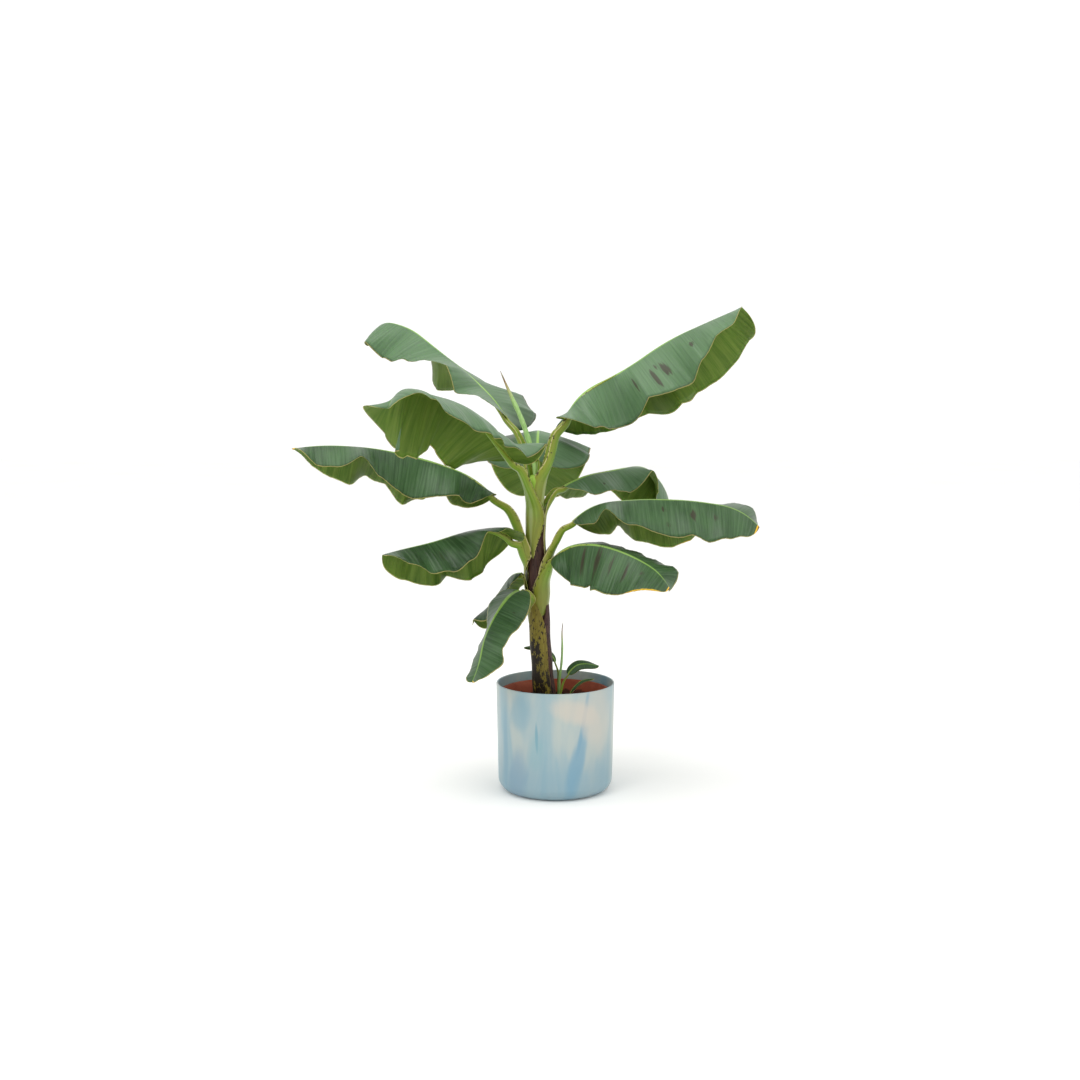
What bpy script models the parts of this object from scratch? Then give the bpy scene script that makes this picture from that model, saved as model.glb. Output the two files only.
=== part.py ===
# A young banana plant in a plastic cover pot.
# Metres, +Z up.  The origin is the centre of the pot's flat underside.
# +X is to the right and +Y away from someone who looks at the plant's front.

from math import cos, pi, radians, sin

import bmesh
import bpy
import numpy as np

GAP = 0.0003                      # clear space where two pieces meet

# cover pot
POT_HEIGHT = 0.203
POT_RIM_RADIUS = 0.110
POT_BASE_RADIUS = 0.1065
POT_CORNER = 0.024
POT_WALL = 0.0035
POT_SIDES = 40

# grower's pot inside it
LINER_RIM_DROP = 0.016            # how far its rim sits below the cover pot's
LINER_RIM_RADIUS = 0.1025
LINER_BASE_RADIUS = 0.078
LINER_WALL = 0.002
LINER_LIP = 0.010                 # height of the thicker band at its rim
LINER_LIP_WALL = 0.0035
SOIL_DROP = 0.026                 # surface of the compost below the liner's rim

LINER_TOP = POT_HEIGHT - LINER_RIM_DROP
LINER_FOOT = POT_WALL + GAP
SOIL_TOP = LINER_TOP - SOIL_DROP

# false stem, made of the leaves' rolled sheaths
STEM_FOOT_X = -0.0190
STEM_LEAN = 0.0185                # how far its top leans to the left
STEM_FOOT = SOIL_TOP + GAP
STEM_TOP = 0.585
STEM_RADII = (0.0245, 0.0202, 0.0185, 0.0184, 0.0182, 0.0172, 0.0160)
STEM_SIDES = 20
STEM_RINGS = 11

# stalks: half widths across and half heights, from the stem to the blade
STALK_WIDTHS = (0.0110, 0.0085, 0.0062)
STALK_HEIGHTS = (0.0064, 0.0082, 0.0060)
STALK_TRIM = 0.0008               # what is left clear between stalk and blade
STALK_RINGS = 7
STALK_SIDES = 10

BLADE_THICKNESS = 0.0042
BLADE_STATIONS = 18
BLADE_STRIPS = 3                  # strips on each side of the midrib
NARROWEST = 0.07                  # least share of the half width, at both ends
CURL = ((12, 12), (12, 12))       # degrees each half bends down from midrib to margin, base to tip
LEAN = (-0.15, 0.35)              # how far side veins lean toward the tip, at base and tip

# newest leaf, still rolled up
SPIKE_LENGTH = 0.206
SPIKE_CLIMB = (86, 74, 65, 67)
SPIKE_RADII = (0.0036, 0.0045, 0.0038, 0.0009)

# Each leaf: turn is its heading seen from above, in degrees from +X toward +Y, and
# bend how much that turns by the tip.  It leaves the stem at height, off the stem's
# axis by off, toward seat where that is not its heading.  climb holds the slopes of
# its stalk, and rises those of the midrib after it.  wide holds the half widths left
# and right of the midrib, and reach scales them from base to tip.  left and right
# tell how steeply each half hangs from base to tip, and their changes make the waves
# of its margins.  shoulders holds the shares of the length that round off at the base
# and at the tip, and girth scales the stalk.  Where a leaf differs from CURL, LEAN or
# STALK_TRIM it has its own curl, lean or trim.
LEAVES = {
    "top_right": dict(
        turn=22, bend=-33, height=0.583, off=0.0100, seat=-10, girth=0.83,
        stalk=0.117, climb=(69, 65), blade=0.391, rises=(25, 35, 24, 23),
        wide=(0.121, 0.087), shoulders=(0.10, 0.45), lean=(-0.30, 0.35),
        left=(-15, 30, 50, 55, 60, 110, 70, 65, 50, 40, 50),
        right=(-50, 35, 65, 80, 35, 50, 60, 40, 25, 25, 0),
        reach=((1.10, 0.95, 1.20), (0.90, 1.20, 0.85))),
    "top_left": dict(
        turn=145, bend=0, height=0.583, off=0.0100, seat=159, girth=0.75,
        stalk=0.124, climb=(78, 50), blade=0.404, rises=(38, 31, 32, 10, -77),
        wide=(0.080, 0.133), shoulders=(0.12, 0.45), lean=(-0.15, 0.35),
        left=(-30, -15, 5, -15, 0, 20, 45, 60, 40, 30, 25),
        right=(30, 10, 10, 20, 30, 55, 40, 25, 30, 35, 40),
        reach=((1.00, 1.00, 0.95), (1.15, 0.95, 1.00))),
    "upper_left": dict(
        turn=234, bend=1, height=0.540, off=0.0100, seat=243, girth=1.00,
        stalk=0.104, climb=(65, 37), blade=0.387, rises=(38, 32, 11, 12, -60),
        wide=(0.113, 0.126), shoulders=(0.16, 0.75), lean=(0.05, 0.25),
        left=(30, -40, 15, 25, 30, 30, 30, 30, 30, 25, 15, -10, -35),
        right=(10, 30, 50, 60, 65, 70, 75, 80, 90, 85, 90, 60, -35),
        reach=((0.95, 0.90, 1.15, 0.90, 0.90), (0.60, 0.75, 0.70, 1.15, 1.35)),
        curl=((120, 60, 35, 35), (12, 12)), trim=0.0028),
    "back": dict(
        turn=88, bend=4, height=0.583, off=0.0100, seat=72, girth=0.60,
        stalk=0.036, climb=(74, 55), blade=0.380, rises=(6, -22, -42, -55),
        wide=(0.108, 0.106), shoulders=(0.20, 0.65), lean=(-0.15, 0.35),
        left=(35, 25, 15, 5, 10, 20, 30),
        right=(40, 25, 20, 20, 25, 30, 40)),
    "right_back": dict(
        turn=34, bend=12, height=0.518, off=0.0120,
        stalk=0.072, climb=(61, 24), blade=0.334, rises=(5, 4, -41, -79),
        wide=(0.083, 0.067), shoulders=(0.25, 0.60), lean=(-0.15, 0.25),
        left=(25, 35, 40, 35, 35, 60, 80, 100, 110),
        right=(15, 35, 30, 45, 5, 45, 65, 60, 55),
        reach=((1.00, 1.05, 0.95), (0.85, 0.90, 1.00))),
    "left": dict(
        turn=198, bend=-5, height=0.454, off=0.0120,
        stalk=0.121, climb=(65, 46), blade=0.388, rises=(21, 13, 4, -8),
        wide=(0.080, 0.091), shoulders=(0.30, 0.68), lean=(0.00, 0.05),
        left=(-10, 50, 35, 45, 70, 55, 35, 10, 35, 40, -10),
        right=(110, 60, 30, 50, 65, 40, 35, 55, 55, 45, 5),
        reach=((0.95, 1.00, 1.05), (0.90, 1.15, 1.05)), trim=0.0010),
    "right": dict(
        turn=-7, bend=2, height=0.434, off=0.0120,
        stalk=0.090, climb=(62, 44), blade=0.364, rises=(6, -1, -9, -46),
        wide=(0.095, 0.092), shoulders=(0.30, 0.55), lean=(0.00, 0.25),
        left=(70, 55, 35, 55, 65, 70, 55, 25, 0, -15, 5),
        right=(30, 25, 5, 25, 30, 40, 35, 45, 40, 35, 40),
        reach=((1.05, 1.05, 0.95), (0.80, 1.05, 1.05))),
    "lower_left": dict(
        turn=204, bend=8, height=0.419, off=0.0120,
        stalk=0.066, climb=(70, 42), blade=0.268, rises=(-3, -14, -8, -11),
        wide=(0.086, 0.087), shoulders=(0.25, 0.55), lean=(-0.15, 0.20),
        left=(0, -5, -5, -5, 20, 30, 30, 15, -5),
        right=(85, 70, 75, 85, 60, 75, 65, 70, 65),
        reach=((1.05, 1.10, 0.95), (0.90, 1.10, 0.85)), trim=0.0010),
    "lower_right": dict(
        turn=-36, bend=6, height=0.389, off=0.0120,
        stalk=0.056, climb=(88, 44), blade=0.272, rises=(8, -12, -24, -55),
        wide=(0.076, 0.085), shoulders=(0.25, 0.55), lean=(0.00, 0.35),
        left=(20, 0, 5, 10, 10, 10, 5, -10, 45),
        right=(30, 65, 55, 60, 50, 50, 35, 15, 0),
        reach=((1.00, 1.00, 0.95), (0.95, 1.05, 0.95))),
    "low_back": dict(
        turn=149, bend=15, height=0.399, off=0.0120,
        stalk=0.023, climb=(39, -2), blade=0.143, rises=(-52, -57, -45, -47),
        wide=(0.053, 0.051), shoulders=(0.30, 0.55), lean=(-0.15, 0.35),
        left=(25, 30, 30, 35, 30, 5, 20),
        right=(35, 25, 20, 15, 20, 50, 75),
        reach=((1.00, 1.00, 0.95), (1.00, 1.00, 1.05))),
    "front": dict(
        turn=236, bend=-13, height=0.363, off=0.0120,
        stalk=0.048, climb=(43, 4), blade=0.214, rises=(-36, -54, -76, -57),
        wide=(0.058, 0.054), shoulders=(0.25, 0.75), lean=(-0.05, 0.35),
        left=(-5, 15, 25, 20, 5, 0, 25, -5, -25),
        right=(-5, 15, 25, 40, 45, 40, 30, 20, 0),
        reach=((0.80, 1.00, 0.95), (0.95, 0.95, 1.05))),
}

# Young shoots beside the stem: the same sizes, but each stands on the compost at foot
# and has its own thickness.
SHOOTS = {
    "shoot_left": dict(
        turn=160, bend=6, foot=(0.0040, 0.0200), girth=0.30, thick=0.0012,
        stalk=0.075, climb=(94, 91, 88, 70), blade=0.072,
        rises=(30, 6, -10), wide=(0.008, 0.008), left=(70, 60, 50), right=(-20, -20, -10),
        shoulders=(0.30, 0.60)),
    "shoot_right": dict(
        turn=2, bend=-2, foot=(0.0082, 0.0045), girth=0.30, thick=0.0012,
        stalk=0.057, climb=(84, 78, 58), blade=0.066,
        rises=(42, 8, -12, -8), wide=(0.011, 0.011), left=(-50, -40, -20, 0), right=(70, 65, 60),
        shoulders=(0.30, 0.65)),
    "shoot_low": dict(
        turn=-4, bend=4, foot=(0.0220, 0.0060), girth=0.30, thick=0.0012,
        stalk=0.018, climb=(80, 70), blade=0.058,
        rises=(50, 36, 8, 2), wide=(0.0050, 0.0060), left=(30, 30, 20), right=(65, 60, 55),
        shoulders=(0.30, 0.60)),
}
SHOOT_SPIKE_FOOT = (0.0066, 0.0130)
SHOOT_SPIKE_LENGTH = 0.153
SHOOT_SPIKE_CLIMB = (90, 88, 82, 88, 92, 80)
SHOOT_SPIKE_RADII = (0.0028, 0.0022, 0.0019, 0.0006)

LEAF_GREEN = (0.075, 0.125, 0.055)
STALK_GREEN = (0.22, 0.30, 0.08)
POT_BLUE = (0.45, 0.60, 0.62)
LINER_BROWN = (0.20, 0.05, 0.03)
SOIL_BROWN = (0.05, 0.03, 0.02)


def clear_scene():
    for item in list(bpy.data.objects):
        bpy.data.objects.remove(item, do_unlink=True)


def make_collection(name, hidden=False):
    group = bpy.data.collections.new(name)
    bpy.context.scene.collection.children.link(group)
    group.hide_render = hidden
    return group


def make_material(name, colour, roughness):
    mat = bpy.data.materials.new(name)
    mat.use_nodes = True
    shader = mat.node_tree.nodes["Principled BSDF"]
    shader.inputs["Base Color"].default_value = (*colour, 1.0)
    shader.inputs["Roughness"].default_value = roughness
    shader.inputs["Metallic"].default_value = 0.0
    return mat


def add_object(name, mesh, colour, roughness):
    """Put a mesh in the plant's collection with its own material."""
    item = bpy.data.objects.new(name, mesh)
    plant.objects.link(item)
    mesh.materials.append(make_material(name, colour, roughness))
    mesh.polygons.foreach_set("use_smooth", [True] * len(mesh.polygons))
    return item


def lathe(name, profile, colour, roughness):
    """Turn a profile of (radius, height) points, from axis to axis, round Z."""
    mesh = bpy.data.meshes.new(name)
    links = [(k, k + 1) for k in range(len(profile) - 1)]
    mesh.from_pydata([(r, 0.0, z) for r, z in profile], links, [])
    item = add_object(name, mesh, colour, roughness)
    turn = item.modifiers.new("turn", "SCREW")
    turn.axis = "Z"
    turn.angle = 2 * pi
    turn.steps = POT_SIDES
    turn.render_steps = POT_SIDES
    turn.use_merge_vertices = True
    turn.merge_threshold = 0.00005
    turn.use_smooth_shade = True
    return item


def rounded(radius_at, height_at, size, steps, start, stop):
    """Points of a rounded corner about a centre, between two angles."""
    points = []
    for k in range(steps + 1):
        angle = start + (stop - start) * k / steps
        points.append((radius_at + size * cos(angle), height_at + size * sin(angle)))
    return points


def eased(values, share):
    """A value between evenly spaced knots, half eased so that it has no kinks."""
    share = np.clip(np.asarray(share, float), 0.0, 1.0)
    values = np.asarray(values, float)
    place = share * (len(values) - 1)
    knot = np.clip(place.astype(int), 0, len(values) - 2)
    part = place - knot
    part = 0.5 * part + 0.5 * part * part * (3 - 2 * part)
    return values[knot] + (values[knot + 1] - values[knot]) * part


def walk(start, length, turns, rises, count):
    """Points of a path of a given length that turns and rises as it goes."""
    share = (np.arange(count) + 0.5) / count
    turn = np.radians(eased(turns, share))
    rise = np.radians(eased(rises, share))
    steps = np.stack([np.cos(turn) * np.cos(rise), np.sin(turn) * np.cos(rise), np.sin(rise)], 1)
    return np.vstack([[start], start + np.cumsum(steps * (length / count), 0)])


def frames(path, turns, count):
    """Evenly spaced points of a path, with directions along, across and over it."""
    place = np.linspace(0, len(path) - 1, count + 1)
    own = np.arange(len(path))
    slope = np.gradient(path, axis=0)
    points = np.stack([np.interp(place, own, path[:, k]) for k in range(3)], 1)
    along = np.stack([np.interp(place, own, slope[:, k]) for k in range(3)], 1)
    along /= np.linalg.norm(along, axis=1)[:, None]
    heading = np.radians(eased(turns, np.linspace(0, 1, count + 1)))
    across = np.stack([-np.sin(heading), np.cos(heading), np.zeros(count + 1)], 1)
    return points, along, across, np.cross(along, across)


def stem_centre(height):
    share = (height - STEM_FOOT) / (STEM_TOP - STEM_FOOT)
    return np.array([STEM_FOOT_X - STEM_LEAN * (1 - (1 - share) ** 2), 0.0, height])


def stem_radius(height):
    return float(eased(STEM_RADII, (height - STEM_FOOT) / (STEM_TOP - STEM_FOOT)))


def leaf_paths(leaf):
    """The stalk's path and the midrib's, each with its first and last heading."""
    first = leaf["turn"]
    last = first + leaf["bend"]
    middle = first + leaf["bend"] * leaf["stalk"] / (leaf["stalk"] + leaf["blade"])
    if "foot" in leaf:
        start = np.array([*leaf["foot"], SOIL_TOP + GAP])
    else:
        seat = radians(leaf.get("seat", first))
        start = stem_centre(leaf["height"]) + leaf["off"] * np.array([cos(seat), sin(seat), 0.0])
    stalk = walk(start, leaf["stalk"], (first, middle), leaf["climb"], 24)
    rises = (leaf["climb"][-1], *leaf["rises"])
    midrib = walk(stalk[-1], leaf["blade"], (middle, last), rises, 60)
    return stalk, (first, middle), midrib, (middle, last)


def outline(leaf, share):
    """Share of the full half width that the blade has at each station."""
    base, tip = leaf["shoulders"]
    near_base = np.clip(1 - share / base, 0, 1)
    near_tip = np.clip((share - (1 - tip)) / tip, 0, 1)
    return np.maximum(np.sqrt(1 - near_base ** 2.2) * np.sqrt(1 - near_tip ** 2.4), NARROWEST)


def blade_points(leaf, stations, strips):
    """Grid of points of the blade: stations along it, strips on each side."""
    stalk, stalk_turns, midrib, turns = leaf_paths(leaf)
    points, along, across, over = frames(midrib, turns, stations)
    share = np.linspace(0, 1, stations + 1)
    grid = np.zeros((stations + 1, 2 * strips + 1, 3))
    grid[:, strips] = points
    lean = eased(leaf.get("lean", LEAN), share)[:, None]
    lean[0] = 0.0                     # the base lies square across the midrib, clear of the stalk
    for number, (side, key) in enumerate(((1, "left"), (-1, "right"))):
        half = leaf["wide"][number] * outline(leaf, share)
        if "reach" in leaf:
            half = half * eased(leaf["reach"][number], share)
        hang = eased(leaf[key], share)
        curl = eased(leaf.get("curl", CURL)[number], share)
        place = points.copy()
        for strip in range(strips):
            angle = np.radians(hang + curl * ((strip + 0.5) / strips - 0.5))
            step = across * side * np.cos(angle)[:, None] - over * np.sin(angle)[:, None]
            place = place + (step + along * lean) * (half / strips)[:, None]
            grid[:, strips + side * (strip + 1)] = place
    return grid


def outward(mesh):
    work = bmesh.new()
    work.from_mesh(mesh)
    bmesh.ops.recalc_face_normals(work, faces=work.faces)
    work.to_mesh(mesh)
    work.free()


def loft(name, rings):
    """A closed solid through rings of points, with a flat face on each end."""
    rings = np.asarray(rings)
    count, sides = rings.shape[:2]
    last = (count - 1) * sides
    faces = [tuple(range(sides)), tuple(range(last, last + sides))]
    for low in range(0, last, sides):
        for k in range(sides):
            nxt = (k + 1) % sides
            faces.append((low + k, low + nxt, low + sides + nxt, low + sides + k))
    mesh = bpy.data.meshes.new(name)
    mesh.from_pydata(rings.reshape(-1, 3).tolist(), [], faces)
    outward(mesh)
    return mesh


def limb_rings(path, turns, widths, heights, count, sides, level_foot=False):
    """Oval rings along a path, with half widths across it and half heights over it."""
    points, along, across, over = frames(path, turns, count)
    share = np.linspace(0, 1, count + 1)
    angle = (np.arange(sides) + 0.5) * 2 * pi / sides
    wide = (eased(widths, share)[:, None] * np.cos(angle))[:, :, None] * across[:, None]
    high = (eased(heights, share)[:, None] * np.sin(angle))[:, :, None] * over[:, None]
    rings = points[:, None] + wide + high
    if level_foot:
        rings[0, :, 2] = path[0][2]
    return rings


def stem_rings(clearance):
    """Level rings up the false stem, let out by a clearance."""
    angle = np.arange(STEM_SIDES) * 2 * pi / STEM_SIDES
    circle = np.stack([np.cos(angle), np.sin(angle), np.zeros(STEM_SIDES)], 1)
    rings = []
    for height in np.linspace(STEM_FOOT, STEM_TOP, STEM_RINGS):
        rings.append(stem_centre(height) + circle * (stem_radius(height) + clearance))
    rings[-1] = rings[-1] + [0.0, 0.0, clearance]
    return rings


def add_blade(name, leaf):
    """A leaf's blade: a thick sheet that hangs on both sides of its midrib."""
    grid = blade_points(leaf, BLADE_STATIONS, BLADE_STRIPS)
    rows, columns = grid.shape[:2]
    faces = []
    for row in range(rows - 1):
        for low in range(row * columns, row * columns + columns - 1):
            faces.append((low, low + 1, low + columns + 1, low + columns))
    mesh = bpy.data.meshes.new(name)
    mesh.from_pydata(grid.reshape(-1, 3).tolist(), [], faces)
    item = add_object(name, mesh, LEAF_GREEN, 0.5)
    thick = item.modifiers.new("thickness", "SOLIDIFY")
    thick.thickness = leaf.get("thick", BLADE_THICKNESS)
    thick.offset = 0.0
    return item


def add_leaf(name, leaf, cutter=None):
    """A stalk, cut to the stem where it has one, and the blade that it carries."""
    path, turns = leaf_paths(leaf)[:2]
    last = path[-1] - path[-2]
    girth = leaf.get("girth", 1.0)
    path[-1] -= last * girth * leaf.get("trim", STALK_TRIM) / np.linalg.norm(last)
    widths = [girth * value for value in STALK_WIDTHS]
    heights = [girth * value for value in STALK_HEIGHTS]
    rings = limb_rings(path, turns, widths, heights, STALK_RINGS, STALK_SIDES, cutter is None)
    stalk = add_object("stalk_" + name, loft("stalk_" + name, rings), STALK_GREEN, 0.45)
    if cutter is not None:
        clip = stalk.modifiers.new("clip", "BOOLEAN")
        clip.operation = "DIFFERENCE"
        clip.solver = "EXACT"
        clip.object = cutter
    add_blade("blade_" + name, leaf)


def add_spike(name, foot, length, turns, climb, radii):
    path = walk(np.array(foot), length, turns, climb, 24)
    add_object(name, loft(name, limb_rings(path, turns, radii, radii, 8, 8, True)), STALK_GREEN, 0.5)


clear_scene()
plant = make_collection("banana_plant")
cutters = make_collection("cutters", hidden=True)

corner_radius = POT_BASE_RADIUS - POT_CORNER
rim_inside = POT_RIM_RADIUS - POT_WALL
pot_profile = [(0.0, POT_WALL)]
pot_profile += rounded(corner_radius, POT_CORNER, POT_CORNER - POT_WALL, 4, -pi / 2, 0.0)
pot_profile += [(rim_inside, POT_HEIGHT - 0.001), (rim_inside + 0.001, POT_HEIGHT)]
pot_profile += [(POT_RIM_RADIUS - 0.001, POT_HEIGHT), (POT_RIM_RADIUS, POT_HEIGHT - 0.001)]
pot_profile += rounded(corner_radius, POT_CORNER, POT_CORNER, 5, 0.0, -pi / 2)
pot_profile += [(0.0, 0.0)]
lathe("cover_pot", pot_profile, POT_BLUE, 0.35)

liner_floor = LINER_FOOT + LINER_WALL
liner_inside = LINER_RIM_RADIUS - LINER_LIP_WALL
lip_foot = LINER_TOP - LINER_LIP
taper = (LINER_RIM_RADIUS - LINER_BASE_RADIUS) / (LINER_TOP - LINER_FOOT)
liner_profile = [(0.0, liner_floor), (LINER_BASE_RADIUS - LINER_WALL, liner_floor)]
liner_profile += [(liner_inside, LINER_TOP), (LINER_RIM_RADIUS, LINER_TOP)]
liner_profile += [(LINER_RIM_RADIUS, lip_foot)]
liner_profile += [(LINER_RIM_RADIUS - LINER_LIP * taper - 0.0012, lip_foot)]
liner_profile += [(LINER_BASE_RADIUS, LINER_FOOT), (0.0, LINER_FOOT)]
lathe("nursery_pot", liner_profile, LINER_BROWN, 0.55)

inside_taper = (liner_inside - LINER_BASE_RADIUS + LINER_WALL) / (LINER_TOP - liner_floor)
soil_foot = liner_floor + GAP
soil_low = LINER_BASE_RADIUS - LINER_WALL + (soil_foot - liner_floor) * inside_taper - GAP
soil_high = LINER_BASE_RADIUS - LINER_WALL + (SOIL_TOP - liner_floor) * inside_taper - GAP
soil_profile = [(0.0, SOIL_TOP), (soil_high, SOIL_TOP), (soil_low, soil_foot), (0.0, soil_foot)]
lathe("compost", soil_profile, SOIL_BROWN, 0.95)

add_object("pseudostem", loft("pseudostem", stem_rings(0.0)), STALK_GREEN, 0.5)
stem_clip = bpy.data.objects.new("stem_clip", loft("stem_clip", stem_rings(GAP)))
stem_clip.display_type = "WIRE"
cutters.objects.link(stem_clip)

for leaf_name, sizes in LEAVES.items():
    add_leaf(leaf_name, sizes, stem_clip)

spike_foot = stem_centre(STEM_TOP) + np.array([0.0, 0.0, GAP])
add_spike("furled_leaf", spike_foot, SPIKE_LENGTH, (180, 190), SPIKE_CLIMB, SPIKE_RADII)

for shoot_name, sizes in SHOOTS.items():
    add_leaf(shoot_name, sizes)
add_spike("shoot_furled", (*SHOOT_SPIKE_FOOT, SOIL_TOP + GAP), SHOOT_SPIKE_LENGTH, (0, 20),
          SHOOT_SPIKE_CLIMB, SHOOT_SPIKE_RADII)
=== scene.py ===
from functools import partial
from math import cos, pi, radians, sin

import bmesh
import bpy
import numpy as np
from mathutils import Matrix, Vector


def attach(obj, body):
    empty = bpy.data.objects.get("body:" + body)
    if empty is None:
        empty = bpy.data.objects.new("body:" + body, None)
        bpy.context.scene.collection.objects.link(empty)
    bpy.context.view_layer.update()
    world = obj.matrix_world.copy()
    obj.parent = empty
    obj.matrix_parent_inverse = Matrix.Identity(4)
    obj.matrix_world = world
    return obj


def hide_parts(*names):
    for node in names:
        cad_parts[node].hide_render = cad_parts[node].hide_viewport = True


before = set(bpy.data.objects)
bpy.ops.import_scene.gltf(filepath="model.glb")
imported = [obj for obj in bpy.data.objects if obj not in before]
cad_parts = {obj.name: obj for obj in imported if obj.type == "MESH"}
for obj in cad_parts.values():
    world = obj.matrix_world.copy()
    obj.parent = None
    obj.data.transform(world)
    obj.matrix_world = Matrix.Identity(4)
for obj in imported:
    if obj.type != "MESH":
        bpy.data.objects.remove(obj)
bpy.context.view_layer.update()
scene = bpy.context.scene
print("frame loaded,", len(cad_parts), "nodes")


# helpers for colours, nodes and meshes

def linearColour(hexCode):
    parts = [int(hexCode[k:k + 2], 16) / 255 for k in (1, 3, 5)]
    return (*[p / 12.92 if p <= 0.04045 else ((p + 0.055) / 1.055) ** 2.4 for p in parts], 1.0)


def addNode(tree, kind, *values, **named):
    # values fill the inputs in order, or by number from a dictionary; a name with a capital is
    # an input too, and any other name is a setting of the node
    node = tree.nodes.new(kind if "Node" in kind else "ShaderNode" + kind)
    inputs = dict(enumerate(values))
    if values and isinstance(values[0], dict):
        inputs = dict(values[0])
    for name, value in named.items():
        if name[0].isupper():
            inputs[name.replace("_", " ")] = value
        elif name == "stops":               # a ramp's places and colours
            ramp = node.color_ramp
            ramp.elements.remove(ramp.elements[-1])
            for number, (place, colour) in enumerate(value):
                element = ramp.elements.new(place) if number else ramp.elements[0]
                element.position = place
                element.color = linearColour(colour)
        else:
            setattr(node, name, value)
    for key, value in inputs.items():
        if isinstance(value, bpy.types.Node):
            value = value.outputs[0]
        if isinstance(value, bpy.types.NodeSocket):
            tree.links.new(value, node.inputs[key])
        else:
            node.inputs[key].default_value = value
    return node


def startMaterial(name, values):            # values set on the shader's own sockets
    material = bpy.data.materials.new(name)
    material.use_nodes = True
    skin = material.node_tree.nodes["Principled BSDF"]
    for label, value in values.items():
        skin.inputs[label].default_value = value
    return material, partial(addNode, material.node_tree)


def finishMaterial(material, colour, height, strength, distance, rough=None):
    tree = material.node_tree
    skin = tree.nodes["Principled BSDF"]
    relief = addNode(tree, "Bump", Strength=strength, Distance=distance, Height=height)
    tree.links.new(colour, skin.inputs["Base Color"])
    tree.links.new(relief.outputs[0], skin.inputs["Normal"])
    if rough:
        tree.links.new(rough.outputs[0], skin.inputs["Roughness"])
    return material


def readPoint(add, name):                   # the three numbers that a piece's points carry
    return add("SeparateXYZ", add("Attribute", attribute_name=name).outputs["Vector"]).outputs


def paintLayers(add, colour, layers):
    # each layer: its colour and its mask, or what the mask follows, from where, to where and how
    # strongly, with a soft start unless it says otherwise
    for tint, mask, *span in layers:
        if span:
            start, full, most, *ease = span
            mask = add("MapRange", mask, start, full, 0.0, most,
                       interpolation_type=ease[0] if ease else "SMOOTHSTEP")
        colour = add("Mix", {0: mask, 6: colour, 7: linearColour(tint)}, data_type="RGBA").outputs[2]
    return colour


def newPiece(name, points, faces, attributes=None, edges=()):
    mesh = bpy.data.meshes.new(name)
    mesh.from_pydata(np.asarray(points).reshape(-1, 3).tolist(), edges, faces)
    for key, values in (attributes or {}).items():
        layer = mesh.attributes.new(key, "FLOAT_VECTOR", "POINT")
        layer.data.foreach_set("vector", np.asarray(values, np.float32).ravel())
    mesh.polygons.foreach_set("use_smooth", [True] * len(mesh.polygons))
    item = bpy.data.objects.new(name, mesh)
    scene.collection.objects.link(item)
    return item


def faceOutward(item):
    work = bmesh.new()
    work.from_mesh(item.data)
    bmesh.ops.recalc_face_normals(work, faces=work.faces)
    work.to_mesh(item.data)
    work.free()


def startTree(name, sizes):                 # a node tree with named inputs
    tree = bpy.data.node_groups.new(name, "GeometryNodeTree")
    tree.is_modifier = True
    tree.interface.new_socket(name="Geometry", in_out="INPUT", socket_type="NodeSocketGeometry")
    for label, kind in sizes.items():
        tree.interface.new_socket(name=label, in_out="INPUT", socket_type="NodeSocket" + kind)
    tree.interface.new_socket(name="Geometry", in_out="OUTPUT", socket_type="NodeSocketGeometry")
    add = partial(addNode, tree)
    return tree, add, add("NodeGroupInput").outputs


def joinParts(tree, parts):
    both = addNode(tree, "GeometryNodeJoinGeometry")
    for part in parts:
        tree.links.new(part.outputs[0], both.inputs[0])
    return both


def applyTree(item, tree, values):          # runs the tree once and keeps its plain mesh
    modifier = item.modifiers.new(tree.name, "NODES")
    modifier.node_group = tree
    sockets = {s.name: s.identifier for s in tree.interface.items_tree if s.in_out == "INPUT"}
    for label, value in values.items():
        modifier[sockets[label]] = value
    graph = bpy.context.evaluated_depsgraph_get()
    mesh = bpy.data.meshes.new_from_object(item.evaluated_get(graph), preserve_all_data_layers=True,
                                           depsgraph=graph)
    item.modifiers.clear()
    item.data = mesh


def finishPiece(item, slot, *nodes):
    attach(item, "root")
    if nodes:
        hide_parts(*nodes)


def spanFaces(rings, sides, first=0):       # quads between rings that follow each other
    return [(low + k, low + (k + 1) % sides, low + sides + (k + 1) % sides, low + sides + k)
            for low in range(first, first + (rings - 1) * sides, sides) for k in range(sides)]


# camera, light and floor

view = dict(place=(-0.0287, -3.0, 0.850), tiltDown=7.24, lens=54.67)
camera = bpy.data.objects.new("camera", bpy.data.cameras.new("camera"))
camera.location = view["place"]
camera.rotation_euler = (radians(90 - view["tiltDown"]), 0, 0)
camera.data.lens = view["lens"]
camera.data.sensor_width = 36
scene.collection.objects.link(camera)
scene.camera = camera
scene.view_settings.view_transform = "Standard"

softboxes = {
    "overhead": dict(place=(-0.5, -0.4, 2.6), aim=(0, 0, 0.5), size=1.8, power=26),
    "frontLeft": dict(place=(-1.9, -2.4, 1.7), aim=(0, 0, 0.4), size=1.6, power=14),
    "rightFill": dict(place=(2.3, -1.3, 1.2), aim=(0, 0, 0.4), size=1.8, power=9),
}
for name, box in softboxes.items():
    light = bpy.data.objects.new(name, bpy.data.lights.new(name, "AREA"))
    light.data.shape = "DISK"
    light.data.size = box["size"]
    light.data.energy = box["power"]
    light.location = box["place"]
    away = Vector(box["place"]) - Vector(box["aim"])
    light.rotation_euler = away.to_track_quat("Z", "Y").to_euler()
    scene.collection.objects.link(light)

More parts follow.
